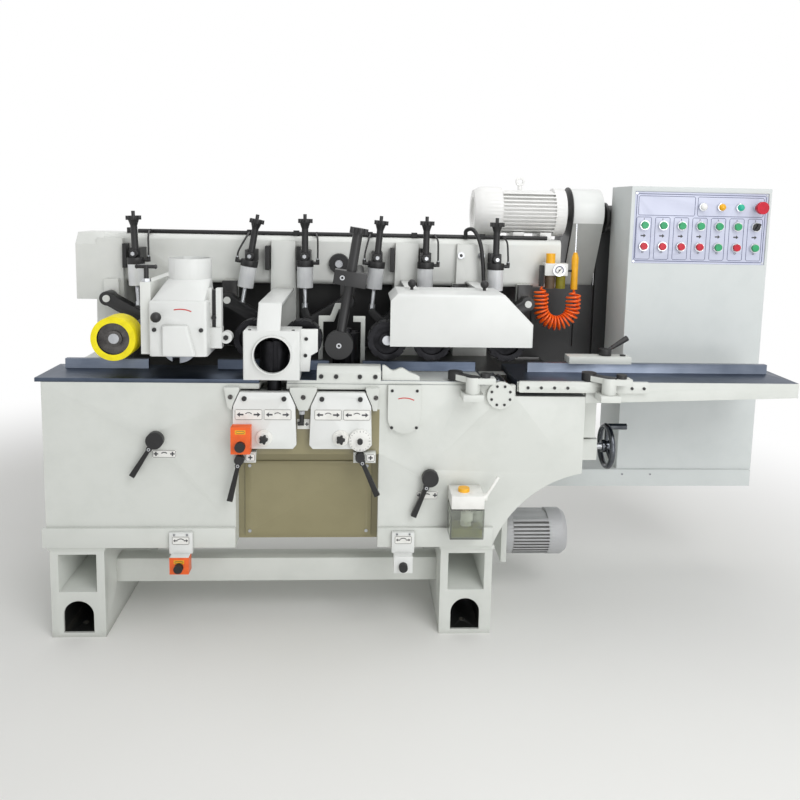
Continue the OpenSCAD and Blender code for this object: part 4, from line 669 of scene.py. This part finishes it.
# flat outline in the front plane, given as (x, z) points, between two depths
def addOutline(work, points, front, back, finish):
    rings = [[work["mesh"].verts.new(Vector((x, y, z)) * mm) for x, z in points] for y in (front, back)]
    count = len(points)
    loops = [rings[0], rings[1][::-1]]
    loops += [[rings[1][k], rings[1][(k + 1) % count], rings[0][(k + 1) % count], rings[0][k]] for k in range(count)]
    made = [work["mesh"].faces.new(loop) for loop in loops]
    bmesh.ops.recalc_face_normals(work["mesh"], faces=made)
    markFaces(work, rings[0] + rings[1], finish)


def arcPoints(x, z, radius, first, last, count):
    angles = [math.radians(first + (last - first) * k / (count - 1)) for k in range(count)]
    return [(x + radius * math.cos(a), z + radius * math.sin(a)) for a in angles]


def addArc(work, x, z, radius, thick, first, last, face, finish):
    band = arcPoints(x, z, radius, first, last, 12) + arcPoints(x, z, radius - thick, last, first, 12)
    addOutline(work, band, face - printDepth, face, finish)


# rectangle drawn as printed lines with cut corners
def addFrame(work, x0, z0, x1, z1, face, line, finish):
    cut = 3 * line
    front = face - printDepth
    for a, b in (((x0 + cut, z0), (x1 - cut, z0 + line)), ((x0 + cut, z1 - line), (x1 - cut, z1)),
                 ((x0, z0 + cut), (x0 + line, z1 - cut)), ((x1 - line, z0 + cut), (x1, z1 - cut))):
        addPlate(work, (a[0], front, a[1]), (b[0], face, b[1]), finish)
    for x, sx in ((x0, 1), (x1, -1)):
        for z, sz in ((z0, 1), (z1, -1)):
            corner = [(x, z + sz * cut), (x + sx * line, z + sz * cut), (x + sx * cut, z + sz * line),
                      (x + sx * cut, z)]
            addOutline(work, corner, front, face, finish)


def smoothFaces(mesh):
    for face in mesh.polygons:
        face.use_smooth = True
    mesh.set_sharp_from_angle(angle=math.radians(creaseAngle))


def closePiece(work, name, nodeName):
    mesh = bpy.data.meshes.new(name)
    work["mesh"].to_mesh(mesh)
    work["mesh"].free()
    for finish in work["finishes"]:
        mesh.materials.append(finishes[finish])
    piece = bpy.data.objects.new(name, mesh)
    scene.collection.objects.link(piece)
    smoothFaces(mesh)
    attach(piece, bodyOf(nodeName))


def addArrow(work, x, z, long, way, face, finish):
    t = long * 0.12
    tip = way * long / 2
    neck = way * long * 0.05
    addOutline(work, [(x - tip, z - t), (x + neck, z - t), (x + neck, z - 3 * t), (x + tip, z), (x + neck, z + 3 * t),
                      (x + neck, z + t), (x - tip, z + t)], face - printDepth, face, finish)


def addPlus(work, x, z, size, face, finish):
    s, t = size / 2, size * 0.15
    front = face - printDepth
    addPlate(work, (x - s, front, z - t), (x + s, face, z + t), finish)
    addPlate(work, (x - t, front, z - s), (x + t, face, z - t), finish)
    addPlate(work, (x - t, front, z + t), (x + t, face, z + s), finish)


# printed frames and marks of the control panel
panelMarks = {
    "plate": 3, "rim": 7, "rimLine": 1.95, "line": 1.5, "gap": 4, "fieldWidth": 214, "fieldDrop": 80,
    "columns": 7, "columnHalf": 26, "columnTop": 85, "columnFoot": 13, "arrow": 18,
    "bar": (1, 18, 23.4),  # half width, foot and top above the start buttons
    "ring": (19.8, 3.6, 1.2, 100, 440),  # drop below the stop buttons, radius, line, first and last degree
    "cornerScrew": (6.3, 4, 3.2, 0.2, 1.8),  # inset, radius at foot and top, depth of seat, height
}


def addPanelPrint(p):
    low, high = (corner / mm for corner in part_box("control_panel"))
    face = high.y - p["plate"]
    work = startPiece("inkBlue", "inkGrey", "chrome")
    left, right, foot, top = low.x, high.x, low.z, high.z
    rim, line, gap = p["rim"], p["line"], p["gap"]
    split = left + p["fieldWidth"]
    addFrame(work, left + rim, foot + rim, right - rim, top - rim, face, p["rimLine"], "inkBlue")
    for x0, x1 in ((left + 2 * rim, split - gap), (split + gap, right - 2 * rim)):
        addFrame(work, x0, top - p["fieldDrop"], x1, top - 2 * rim, face, line, "inkBlue")
    startRow = middleOf("start_button_1").z
    half, barFoot, barTop = p["bar"]
    drop, *ring = p["ring"]
    for k in range(p["columns"]):
        x, _, z = middleOf(f"stop_button_{k + 1}")
        addFrame(work, x - p["columnHalf"], foot + p["columnFoot"], x + p["columnHalf"], top - p["columnTop"], face,
                 line, "inkBlue")
        addArrow(work, x, (z + startRow) / 2, p["arrow"], 1, face, "inkGrey")
        addPlate(work, (x - half, face - printDepth, startRow + barFoot), (x + half, face, startRow + barTop),
                 "inkGrey")
        addArc(work, x, z - drop, *ring, face, "inkGrey")
    inset, base, tip, seat, height = p["cornerScrew"]
    for x in (left + inset, right - inset):
        for z in (foot + inset, top - inset):
            addRod(work, (x, face + seat, z), (x, face - height, z), base, "chrome", tip=tip, sides=20)
    closePiece(work, "panelPrintLines", "control_panel")


addPanelPrint(panelMarks)
print("panel printed")


# small white plates with plain arrows and plus signs beside the adjusters: x0, x1, z0, z1 and the face they lie on
signPlates = {
    "thick": 1.2, "seat": 0.3, "inset": 1, "line": 1.0,
    "arrowPlates": [(-113, -32, 685, 718, -345), (-29, 52, 685, 718, -345), (118, 199, 685, 718, -345),
                    (202, 283, 685, 718, -345), (-299, -247, 304, 330, -346), (361, 413, 304, 330, -346)],
    "arrowArc": (7, 14, 2.4, 45, 135),  # drop of the centre, radius, line, first and last degree
    "arrowAt": 0.3, "arrowLong": 0.24,  # in widths of the plate
    "plusPlates": [(-358, -288, 562, 586, -320), (426, 490, 434, 460, -320)],
    "plusArc": (8, 14, 3, 50, 130), "plusAt": 24, "plusSize": 13,
    "singlePlus": [(-82, -54, 560, 584, -345), (272, 298, 560, 584, -345)],
    "collars": [(-27.5, 632), (196, 632)], "collarBack": -344.5,
    "collarSteps": [(24, -350), (20.5, -355)],  # radius and front
}


def addSignPlates(s):
    work = startPiece("whitePlastic", "inkGrey")
    inset = s["inset"]
    for x0, x1, z0, z1, face in s["arrowPlates"] + s["plusPlates"] + s["singlePlus"]:
        front = face - s["thick"]
        addPlate(work, (x0, front, z0), (x1, face + s["seat"], z1), "whitePlastic")
        addFrame(work, x0 + inset, z0 + inset, x1 - inset, z1 - inset, front, s["line"], "inkGrey")
    for x0, x1, z0, z1, face in s["arrowPlates"]:
        middle, row, front = (x0 + x1) / 2, (z0 + z1) / 2, face - s["thick"]
        drop, *arc = s["arrowArc"]
        addArc(work, middle, row - drop, *arc, front, "inkGrey")
        for side in (-1, 1):
            addArrow(work, middle + side * (x1 - x0) * s["arrowAt"], row, (x1 - x0) * s["arrowLong"], side, front,
                     "inkGrey")
    for x0, x1, z0, z1, face in s["plusPlates"]:
        middle, row, front = (x0 + x1) / 2, (z0 + z1) / 2, face - s["thick"]
        drop, *arc = s["plusArc"]
        addArc(work, middle, row - drop, *arc, front, "inkGrey")
        for side in (-1, 1):
            addPlus(work, middle + side * s["plusAt"], row, s["plusSize"], front, "inkGrey")
    for x0, x1, z0, z1, face in s["singlePlus"]:
        addPlus(work, (x0 + x1) / 2, (z0 + z1) / 2, s["plusSize"], face - s["thick"], "inkGrey")
    for x, z in s["collars"]:
        for radius, front in s["collarSteps"]:
            addRod(work, (x, s["collarBack"], z), (x, front, z), radius, "whitePlastic", sides=40)
    closePiece(work, "signPlates", "side_head_plates")


addSignPlates(signPlates)
print("sign plates made")


# dial ticks, counter windows, pressure gauge face and turning marks
scales = {
    "dial": (253, 626, -355), "ticks": 20, "longEvery": 5, "tickFrom": {True: 25, False: 28}, "tickTo": 31,
    "tickHalf": 0.6,
    "windows": [(-107, -77, 652, 664, -379), (-288, -258, 257, 268, -372)], "windowInset": 2, "windowLine": 1.2,
    "gauge": (937, 1104, 71), "gaugeRadius": 17.5, "gaugeBand": (15, 3, -40, 220), "pin": 3,
    "needle": [(-8, -9), (-6, -10.5), (9, 8), (8, 9)],
    "seat": 0.2, "proud": 0.8,  # depth and height of window and gauge plates
    "arcs": [(-268, 930, 78, 3.2, 66, 104, -330), (383, 690, 62, 3.0, 62, 108, -332)],
}


def addScales(s):
    work = startPiece("inkGrey", "whiteLens", "inkBlue", "inkRed", "gunYellow")
    x, z, face = s["dial"]
    for k in range(s["ticks"]):
        a = math.tau * k / s["ticks"]
        inner = s["tickFrom"][k % s["longEvery"] == 0]
        side = Vector((-math.sin(a), math.cos(a))) * s["tickHalf"]
        ends = [Vector((x, z)) + r * Vector((math.cos(a), math.sin(a))) for r in (inner, s["tickTo"])]
        addOutline(work, [tuple(ends[0] - side), tuple(ends[1] - side), tuple(ends[1] + side), tuple(ends[0] + side)],
                   face - printDepth, face, "inkGrey")
    seat, proud, inset = s["seat"], s["proud"], s["windowInset"]
    for x0, x1, z0, z1, face in s["windows"]:
        addPlate(work, (x0, face - proud, z0), (x1, face + seat, z1), "gunYellow")
        addFrame(work, x0 + inset, z0 + inset, x1 - inset, z1 - inset, face - proud, s["windowLine"], "inkGrey")
    x, z, face = s["gauge"]
    addRod(work, (x, face + seat, z), (x, face - proud, z), s["gaugeRadius"], "whiteLens", sides=40)
    addArc(work, x, z, *s["gaugeBand"], face - proud, "inkBlue")
    addOutline(work, [(x + dx, z + dz) for dx, dz in s["needle"]], face - 1.8, face - 0.7, "inkGrey")
    addRod(work, (x, face - 0.7, z), (x, face - 2.4, z), s["pin"], "inkGrey", sides=20)
    for x, z, radius, thick, first, last, face in s["arcs"]:
        addArc(work, x, z, radius, thick, first, last, face, "inkRed")
    closePiece(work, "scaleMarks", "side_head_plates")


addScales(scales)
print("scales marked")


# black air pipes from the tees on the beam to the cylinder caps, knob hubs, pivots and the cable conduit
pipes = {
    "sides": (1, -1, 1, -1, 1, 1),  # side of each cap that its pipe leaves from
    "hub": (266, 287, 11, 18),  # foot and top along the cylinder, radius at each
    "pivotAt": 174, "pivot": (6, 30, 15, 13), "pivotNut": (29, 34, 7),  # back, front and radius
    "capAt": 150, "capRadius": 29, "elbow": 14, "fitting": 6, "ferrule": 4.6, "fittingSides": 18,
    "tee": (36, 161, 1212), "pipe": 3.2,
    "plates": [(-562, -549), (-80, -66), (27, 40), (352, 365), (455, 468)],
    "plateY": (108, 150.4), "plateZ": (1085, 1168),
    "conduit": 7, "conduitLine": [(620, 160, 1206), (618, 146, 1232), (640, 120, 1236), (662, 98, 1190),
                                  (672, 90, 1120), (676, 88, 1060)],
}


def addPipes(p, c):
    work = startPiece("blackPlastic", "brightSteel")
    fitting, sides = p["fitting"], p["fittingSides"]
    for top, foot, way in zip(c["topX"], c["clevisX"], p["sides"]):
        axis = Vector((top - foot, 0, c["knobZ"] - c["clevisZ"])).normalized()
        base = Vector((foot, c["y"], c["clevisZ"]))
        low, high, radius, tip = p["hub"]
        addRod(work, base + axis * low, base + axis * high, radius, "blackPlastic", tip=tip)
        cap = base + axis * p["capAt"]
        pivot = base + axis * p["pivotAt"]
        back, front, radius, tip = p["pivot"]
        addRod(work, pivot - Vector((0, back, 0)), pivot - Vector((0, front, 0)), radius, "blackPlastic", tip=tip)
        back, front, radius = p["pivotNut"]
        addRod(work, pivot - Vector((0, back, 0)), pivot - Vector((0, front, 0)), radius, "brightSteel", sides=6)
        side = Vector((axis.z, 0, -axis.x)) * way
        seat = cap + side * p["capRadius"]
        elbow = seat + side * p["elbow"]
        tee = Vector((top + way * p["tee"][0], p["tee"][1], p["tee"][2]))
        addRod(work, seat - side * 2, elbow + side * 3, fitting, "blackPlastic", sides=sides)
        addRod(work, elbow - axis * 5, elbow + axis * 12, fitting, "blackPlastic", sides=sides)
        addRod(work, elbow + axis * 12, elbow + axis * 16, p["ferrule"], "brightSteel", sides=sides)
        addTube(work, [tee + Vector((0, 2, 0)), tee + Vector((0, -22, -2)), tee + Vector((6 * way, -58, -18)),
                       elbow + axis * 34 + Vector((0, 4, 0)), elbow + axis * 13], p["pipe"], "blackPlastic")
        addRod(work, tee + Vector((0, 3, 0)), tee - Vector((0, 8, 0)), fitting, "blackPlastic", sides=sides)
    for x0, x1 in p["plates"]:
        addPlate(work, (x0, p["plateY"][0], p["plateZ"][0]), (x1, p["plateY"][1], p["plateZ"][1]), "blackPlastic")
    addTube(work, p["conduitLine"], p["conduit"], "blackPlastic")
    closePiece(work, "airPipes", "air_supply")


addPipes(pipes, cylinders)
print("pipes laid")


# drive side behind the infeed: rear sheets with ribs in black for the shade behind the openings (painted shade), pulley
# and belt cover beside the guard
drive = {
    "sheets": [[(702.5, 280, 788.4), (716.5, 283, 1033)], [(716.5, 280, 755.4), (930, 283, 1033)],
               [(930, 280, 690), (1125, 283, 1033)]],
    "cover": [(1124, 262, 690), (1182, 283, 1240)],
    "ribX": (760, 900, 1060), "rib": 8, "ribBack": 280, "ribZ": (800, 1033),
    "pulleyY": 260, "pulleyZ": 1286, "shaft": (1118, 1140, 24), "pulley": (1140, 1200, 50),  # x0, x1, radius
    "flange": 8, "flangeRise": 6, "grooveDrop": 4, "pulleySides": 48,
}


def addDrive(d):
    work = startPiece("blackEnamel", "darkSteel")
    for corners in d["sheets"] + [d["cover"]]:
        addPlate(work, *corners, "blackEnamel")
    rib, back, (foot, top) = d["rib"], d["ribBack"], d["ribZ"]
    for x in d["ribX"]:
        addPlate(work, (x - rib, back - rib, foot), (x + rib, back, top), "blackEnamel")
    y, z = d["pulleyY"], d["pulleyZ"]
    a, b, radius = d["shaft"]
    addRod(work, (a, y, z), (b, y, z), radius, "darkSteel")
    a, b, radius = d["pulley"]
    flange, rim, groove = d["flange"], radius + d["flangeRise"], radius - d["grooveDrop"]
    for x0, x1, reach in ((a, a + flange, rim), (a + flange, b - flange, groove), (b - flange, b, rim)):
        addRod(work, (x0, y, z), (x1, y, z), reach, "blackEnamel", sides=d["pulleySides"])
    closePiece(work, "driveSide", "access_panels")


addDrive(drive)
print("drive side closed")


# slide beside the top head's hood, and the lock screw on its carrier
headSlide = {
    "bars": [(-203, -189), (-177, -161)], "y": (-276, -250), "z": (928, 1062), "slotDeep": 8, "slotShort": 6,
    "pin": (975, 7), "foot": [(-206, -280, 884), (-160, -246, 946)],
    "hinge": (-148, 916), "hingeRadius": 18, "hingeNut": 8,
    "lock": (-374.5, -285, 1080), "lockNut": 13, "lockStem": 7,
    "lockBar": (44, 29, 5.5), "lockEnds": (26, 31, 7, 5),  # rise, half length and radius; from, to and radii
}


def addHeadSlide(h):
    work = startPiece("sheetEnamel", "blackPlastic", "brightSteel")
    (front, back), (foot, top) = h["y"], h["z"]
    for x0, x1 in h["bars"]:
        addPlate(work, (x0, front, foot), (x1, back, top), "sheetEnamel")
    left, right = h["bars"][0][1], h["bars"][1][0]
    addPlate(work, (left, front + h["slotDeep"], foot), (right, back, top - h["slotShort"]), "blackPlastic")
    middle, (z, radius) = (left + right) / 2, h["pin"]
    addRod(work, (middle, front + 9, z), (middle, front - 4, z), radius, "blackPlastic")
    addPlate(work, *h["foot"], "sheetEnamel")
    x, z = h["hinge"]
    addRod(work, (x, front - 2, z), (x, back + 2, z), h["hingeRadius"], "sheetEnamel")
    addRod(work, (x, front - 7, z), (x, front, z), h["hingeNut"], "blackPlastic", sides=6)
    x, y, z = h["lock"]
    addRod(work, (x, y, z - 1), (x, y, z + 10), h["lockNut"], "brightSteel", sides=6)
    addRod(work, (x, y, z + 10), (x, y, z + 48), h["lockStem"], "blackPlastic")
    rise, half, radius = h["lockBar"]
    addRod(work, (x - half, y, z + rise), (x + half, y, z + rise), radius, "blackPlastic")
    near, far, radius, tip = h["lockEnds"]
    for side in (-1, 1):
        addRod(work, (x + side * near, y, z + rise), (x + side * far, y, z + rise), radius, "blackPlastic", tip=tip)
    closePiece(work, "headSlideAndLock", "feed_beam")


addHeadSlide(headSlide)
print("head slide made")


# lock of the middle gib between the head plates, and the round boss behind the hold down post
gibLock = {
    "plate": [(67, -323.5, 652), (103, -319.5, 682)], "plus": (95, 667, 11),
    "shaft": (81, -331, 672, 716), "rod": 6.5, "nut": 9.5, "grip": 69, "gripTip": 5.5,
    "boss": (173, 1109), "bossSteps": [(36, 150.5, 134), (15, 134.5, 126)],  # radius, back and front
}


def addGibLock(g):
    work = startPiece("blackPlastic", "whitePlastic", "inkGrey", "brightSteel")
    addPlate(work, *g["plate"], "whitePlastic")
    addPlus(work, *g["plus"], g["plate"][0][1], "inkGrey")
    x, y, foot, top = g["shaft"]
    addRod(work, (x, y, foot), (x, y, top), g["rod"], "blackPlastic")
    addRod(work, (x, y, top - 16), (x, y, top - 6), g["nut"], "brightSteel", sides=6)
    addRod(work, (x + 6, y - 2, foot), (g["grip"], y - 2, foot - 1), g["rod"], "blackPlastic", tip=g["gripTip"])
    x, z = g["boss"]
    for (radius, back, front), finish in zip(g["bossSteps"], ("blackPlastic", "brightSteel")):
        addRod(work, (x, back, z), (x, front, z), radius, finish, tip=radius - 2, sides=40)
    closePiece(work, "gibLock", "bed_casting")


addGibLock(gibLock)
print("gib lock made")


# oil and pump tube inside the clear bowl
pumpFill = {"low": (525, -402, 350.5), "high": (615, -341, 378), "tube": (570, -372, 350.5, 438), "tubeRadius": 17,
            "card": [(552, -390, 396), (588, -389, 424)]}


def addPumpFill(f):
    work = startPiece("pumpOil", "whitePlastic")
    addPlate(work, f["low"], f["high"], "pumpOil")
    x, y, z0, z1 = f["tube"]
    addRod(work, (x, y, z0), (x, y, z1), f["tubeRadius"], "whitePlastic", tip=f["tubeRadius"] - 3)
    addPlate(work, *f["card"], "whitePlastic")
    closePiece(work, "pumpFill", "lubricator")


addPumpFill(pumpFill)
print("pump filled")


# screw heads, instanced on points that carry their direction and width
def screwGroup(name, head, drive, slotted):
    tree = bpy.data.node_groups.new(name, "GeometryNodeTree")
    for label, kind, way in (("Places", "NodeSocketGeometry", "INPUT"), ("Height", "NodeSocketFloat", "INPUT"),
                             ("Seed", "NodeSocketInt", "INPUT"), ("Screws", "NodeSocketGeometry", "OUTPUT")):
        tree.interface.new_socket(label, in_out=way, socket_type=kind)
    given = addNode(tree, "NodeGroupInput").outputs
    facing = addNode(tree, "GeometryNodeInputNamedAttribute", {"data_type": "FLOAT_VECTOR", "Name": "facing"})
    width = addNode(tree, "GeometryNodeInputNamedAttribute", {"data_type": "FLOAT", "Name": "headWidth"})
    body = addNode(tree, "GeometryNodeMeshCylinder", {"Vertices": 24, "Radius": 0.5, "Depth": 1.0})
    bodyPainted = addNode(tree, "GeometryNodeSetMaterial", {"Material": finishes[head]},
                          {"Geometry": body.outputs["Mesh"]})
    # the drive mark: a black disc or bar standing for the socket or slot, painted shade
    if slotted:
        mark = addNode(tree, "GeometryNodeMeshCube", {"Size": (0.9, 0.16, 1.06)})
    else:
        mark = addNode(tree, "GeometryNodeMeshCylinder", {"Vertices": 6, "Radius": 0.27, "Depth": 1.06})
    markPainted = addNode(tree, "GeometryNodeSetMaterial", {"Material": finishes[drive]},
                          {"Geometry": mark.outputs["Mesh"]})
    screw = addNode(tree, "GeometryNodeJoinGeometry", {}, {"Geometry": bodyPainted.outputs["Geometry"]})
    tree.links.new(markPainted.outputs["Geometry"], screw.inputs["Geometry"])
    aim = addNode(tree, "FunctionNodeAlignRotationToVector", {"axis": "Z"}, {"Vector": facing.outputs["Attribute"]})
    spin = addNode(tree, "FunctionNodeRandomValue", {"data_type": "FLOAT", 3: math.tau}, {"Seed": given["Seed"]})
    around = addNode(tree, "ShaderNodeCombineXYZ", {}, {"Z": spin.outputs[1]})
    euler = addNode(tree, "FunctionNodeEulerToRotation", {}, {"Euler": around.outputs["Vector"]})
    turn = addNode(tree, "FunctionNodeRotateRotation", {"rotation_space": "LOCAL"},
                   {"Rotation": aim.outputs["Rotation"], "Rotate By": euler.outputs["Rotation"]})
    scale = addNode(tree, "ShaderNodeCombineXYZ", {},
                    {"X": width.outputs["Attribute"], "Y": width.outputs["Attribute"], "Z": given["Height"]})
    placed = addNode(tree, "GeometryNodeInstanceOnPoints", {},
                     {"Points": given["Places"], "Instance": screw.outputs["Geometry"],
                      "Rotation": turn.outputs["Rotation"], "Scale": scale.outputs["Vector"]})
    real = addNode(tree, "GeometryNodeRealizeInstances", {}, {"Geometry": placed.outputs["Instances"]})
    addNode(tree, "NodeGroupOutput", {}, {"Screws": real.outputs["Geometry"]})
    return tree


screwKinds = {
    "socketScrew": screwGroup("socketScrew", "blackEnamel", "phenolicResin", False),
    "brightScrew": screwGroup("brightScrew", "brightSteel", "phenolicResin", False),
    "slotScrew": screwGroup("slotScrew", "darkSteel", "phenolicResin", True),
}
ways = {"front": (0, -1, 0), "up": (0, 0, 1), "back": (0, 1, 0)}
screwSeed = 7


# one mesh of screws on a body: each place is x, y, z of the seat in mm, the head's width and the way it faces
def addScrews(name, nodeName, kind, height, places):
    mesh = bpy.data.meshes.new(name)
    mesh.from_pydata([Vector(p[:3]) * mm for p in places], [], [])
    mesh.attributes.new("facing", "FLOAT_VECTOR", "POINT")
    mesh.attributes.new("headWidth", "FLOAT", "POINT")
    for k, place in enumerate(places):
        mesh.attributes["facing"].data[k].vector = ways[place[4]]
        mesh.attributes["headWidth"].data[k].value = place[3] * mm
    piece = bpy.data.objects.new(name, mesh)
    scene.collection.objects.link(piece)
    heads = piece.modifiers.new("screws", "NODES")
    heads.node_group = screwKinds[kind]
    sockets = {item.name: item.identifier for item in screwKinds[kind].interface.items_tree}
    heads[sockets["Height"]] = 2 * height * mm
    heads[sockets["Seed"]] = screwSeed
    smoothFaces(plainMesh(piece))
    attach(piece, bodyOf(nodeName))


# bearing cap's ring, rows of the rear sheets and clamp levers that carry screws, in mm and degrees
capRing = {"centre": (670, -332, 759.5), "radius": 30, "count": 8, "head": 8}
rearRows = {"x": [*range(-540, 700, 137), *range(760, 1110, 110)], "z": (806, 1016), "face": 283, "head": 12}
levers = {"pivots": [(-344, 622), (-98, 569), (254, 577), (464, 508)], "lean": [-32, -13, 24, -22],
          "root": [30, 16.8, 16.8, 30], "face": [-351.4, -366.4, -366.4, -351.4], "head": 10}


def ringPlaces(r):
    x, y, z = r["centre"]
    turns = [math.tau * (k + 0.5) / r["count"] for k in range(r["count"])]
    return [(x + r["radius"] * math.cos(a), y, z + r["radius"] * math.sin(a), r["head"], "front") for a in turns]


# each set: its node, the kind of screw, the height of the heads in mm and their places
screwSets = {
    "bedScrews": ("bed_casting", "socketScrew", 2, ringPlaces(capRing) + [
        (x, -332, z, 9, "front") for x, z in ((346, 772), (420, 772), (346, 660), (420, 660))]),
    "gibScrews": ("bed_casting", "slotScrew", 3, [(x, -339, 752, 14, "front") for x in (-126, 85, 298)]),
    "clampBarScrews": ("table_plates", "socketScrew", 4, [(x, -320, 811, 13, "front") for x in (136, 180, 250, 296)]),
    "hoodScrews": ("front_dust_hood", "socketScrew", 2, [(x, -322, 947, 9, "up") for x in (-72, 54)] + [
        (x, -296.5, z, 11, "front") for x, z in ((90, 918), (88, 868))]),
    "plinthScrews": ("control_cabinet", "brightScrew", 1.5, [(x, 2, 397, 8, "front") for x in (1174, 1274)]),
    "pressScrews": ("press_post", "brightScrew", 4, [
        (185, -238.9, 888, 16, "front"), (193, -239.9, 1096, 15, "front")]),
    "rearScrews": ("access_panels", "brightScrew", 2, [
        (x, rearRows["face"], z, rearRows["head"], "back") for x in rearRows["x"] for z in rearRows["z"]]),
    "beamBolts": ("feed_beam", "brightScrew", 6, [(x, 130, 1146, 24, "front") for x in (600, 672)]),
    "fenceBarScrew": ("infeed_table", "socketScrew", 4, [(1090, -170, 852, 18, "up")]),
    "bracketScrews": ("side_head_plates", "brightScrew", 2, [
        (x, -346, 335, 7, "front") for x in (-292, -254, 368, 406)]),
}
for k, (x, z) in enumerate(levers["pivots"]):
    lean, root = math.radians(levers["lean"][k]), levers["root"][k]
    screwSets[f"leverScrew{k + 1}"] = (f"clamp_lever_{k + 1}", "brightScrew", 1.5, [
        (x + root * math.sin(lean), levers["face"][k], z - root * math.cos(lean), levers["head"], "front")])
for name, (nodeName, kind, height, places) in screwSets.items():
    addScrews(name, nodeName, kind, height, places)
print("screws placed:", len(screwSets), "sets")


# studio: pale floor, white surround, soft lamps
studio = {"floor": "#f3f3f1", "floorShade": "#eeeeeb", "floorHalf": 20, "cloud": 1.5, "fadeFrom": 1.5, "fadeTo": 3.2,
          "fill": 0.5, "aim": (0.3, 0, 0.8),  # m; lamps have their power, place and size
          "lamps": {"keyLamp": (58, (1.9, -3.2, 3.4), 2.2), "topLamp": (30, (0.6, 0.2, 3.6), 3.4),
                    "lowLamp": (26, (1.7, -3.6, 0.9), 2.0)}}


def addStudio(s):
    plane = bpy.data.meshes.new("studioFloor")
    far = s["floorHalf"]
    plane.from_pydata([(-far, -far, 0), (far, -far, 0), (far, far, 0), (-far, far, 0)], [], [(0, 1, 2, 3)])
    floor = bpy.data.objects.new("studioFloor", plane)
    scene.collection.objects.link(floor)
    material, tree = newMaterial("paleFloor")
    coords = addNode(tree, "ShaderNodeTexCoord").outputs["Object"]
    cloud = addNode(tree, "ShaderNodeTexNoise", {"Scale": s["cloud"]}, {"Vector": coords})
    tint = addNode(tree, "ShaderNodeMix", {"data_type": "RGBA", 6: linear(s["floor"]), 7: linear(s["floorShade"])},
                   {"Factor": cloud.outputs["Fac"]})
    shader = addNode(tree, "ShaderNodeBsdfDiffuse", {}, {"Color": tint.outputs[2]})
    reach = addNode(tree, "ShaderNodeVectorMath", {"operation": "LENGTH"}, {0: coords})
    fade = addNode(tree, "ShaderNodeMapRange", {"interpolation_type": "SMOOTHSTEP", "From Min": s["fadeFrom"],
                                                "From Max": s["fadeTo"]}, {"Value": reach.outputs["Value"]})
    glow = addNode(tree, "ShaderNodeEmission", {"Color": (1, 1, 1, 1), "Strength": 1.0})
    blend = addNode(tree, "ShaderNodeMixShader", {},
                    {0: fade.outputs["Result"], 1: shader.outputs["BSDF"], 2: glow.outputs["Emission"]})
    addNode(tree, "ShaderNodeOutputMaterial", {}, {"Surface": blend.outputs["Shader"]})
    plane.materials.append(material)
    for name, (power, place, size) in s["lamps"].items():
        data = bpy.data.lights.new(name, "AREA")
        data.energy = power
        data.size = size
        lamp = bpy.data.objects.new(name, data)
        lamp.location = place
        aim = Vector(s["aim"]) - Vector(place)
        lamp.rotation_euler = aim.to_track_quat("-Z", "Y").to_euler()
        scene.collection.objects.link(lamp)
    world = bpy.data.worlds.new("whiteRoom")
    world.use_nodes = True
    tree = world.node_tree
    tree.nodes.clear()
    ray = addNode(tree, "ShaderNodeLightPath")
    seen = addNode(tree, "ShaderNodeMath", {"operation": "MAXIMUM"},
                   {0: ray.outputs["Is Camera Ray"], 1: ray.outputs["Is Glossy Ray"]})
    shown = addNode(tree, "ShaderNodeMath", {"operation": "MAXIMUM"},
                    {0: seen.outputs["Value"], 1: ray.outputs["Is Transmission Ray"]})
    level = addNode(tree, "ShaderNodeMapRange", {"To Min": s["fill"], "To Max": 1.0},
                    {"Value": shown.outputs["Value"]})
    back = addNode(tree, "ShaderNodeBackground", {"Color": (1, 1, 1, 1)}, {"Strength": level.outputs["Result"]})
    addNode(tree, "ShaderNodeOutputWorld", {}, {"Surface": back.outputs["Background"]})
    scene.world = world
    scene.view_settings.view_transform = "Standard"


addStudio(studio)
print("studio ready")
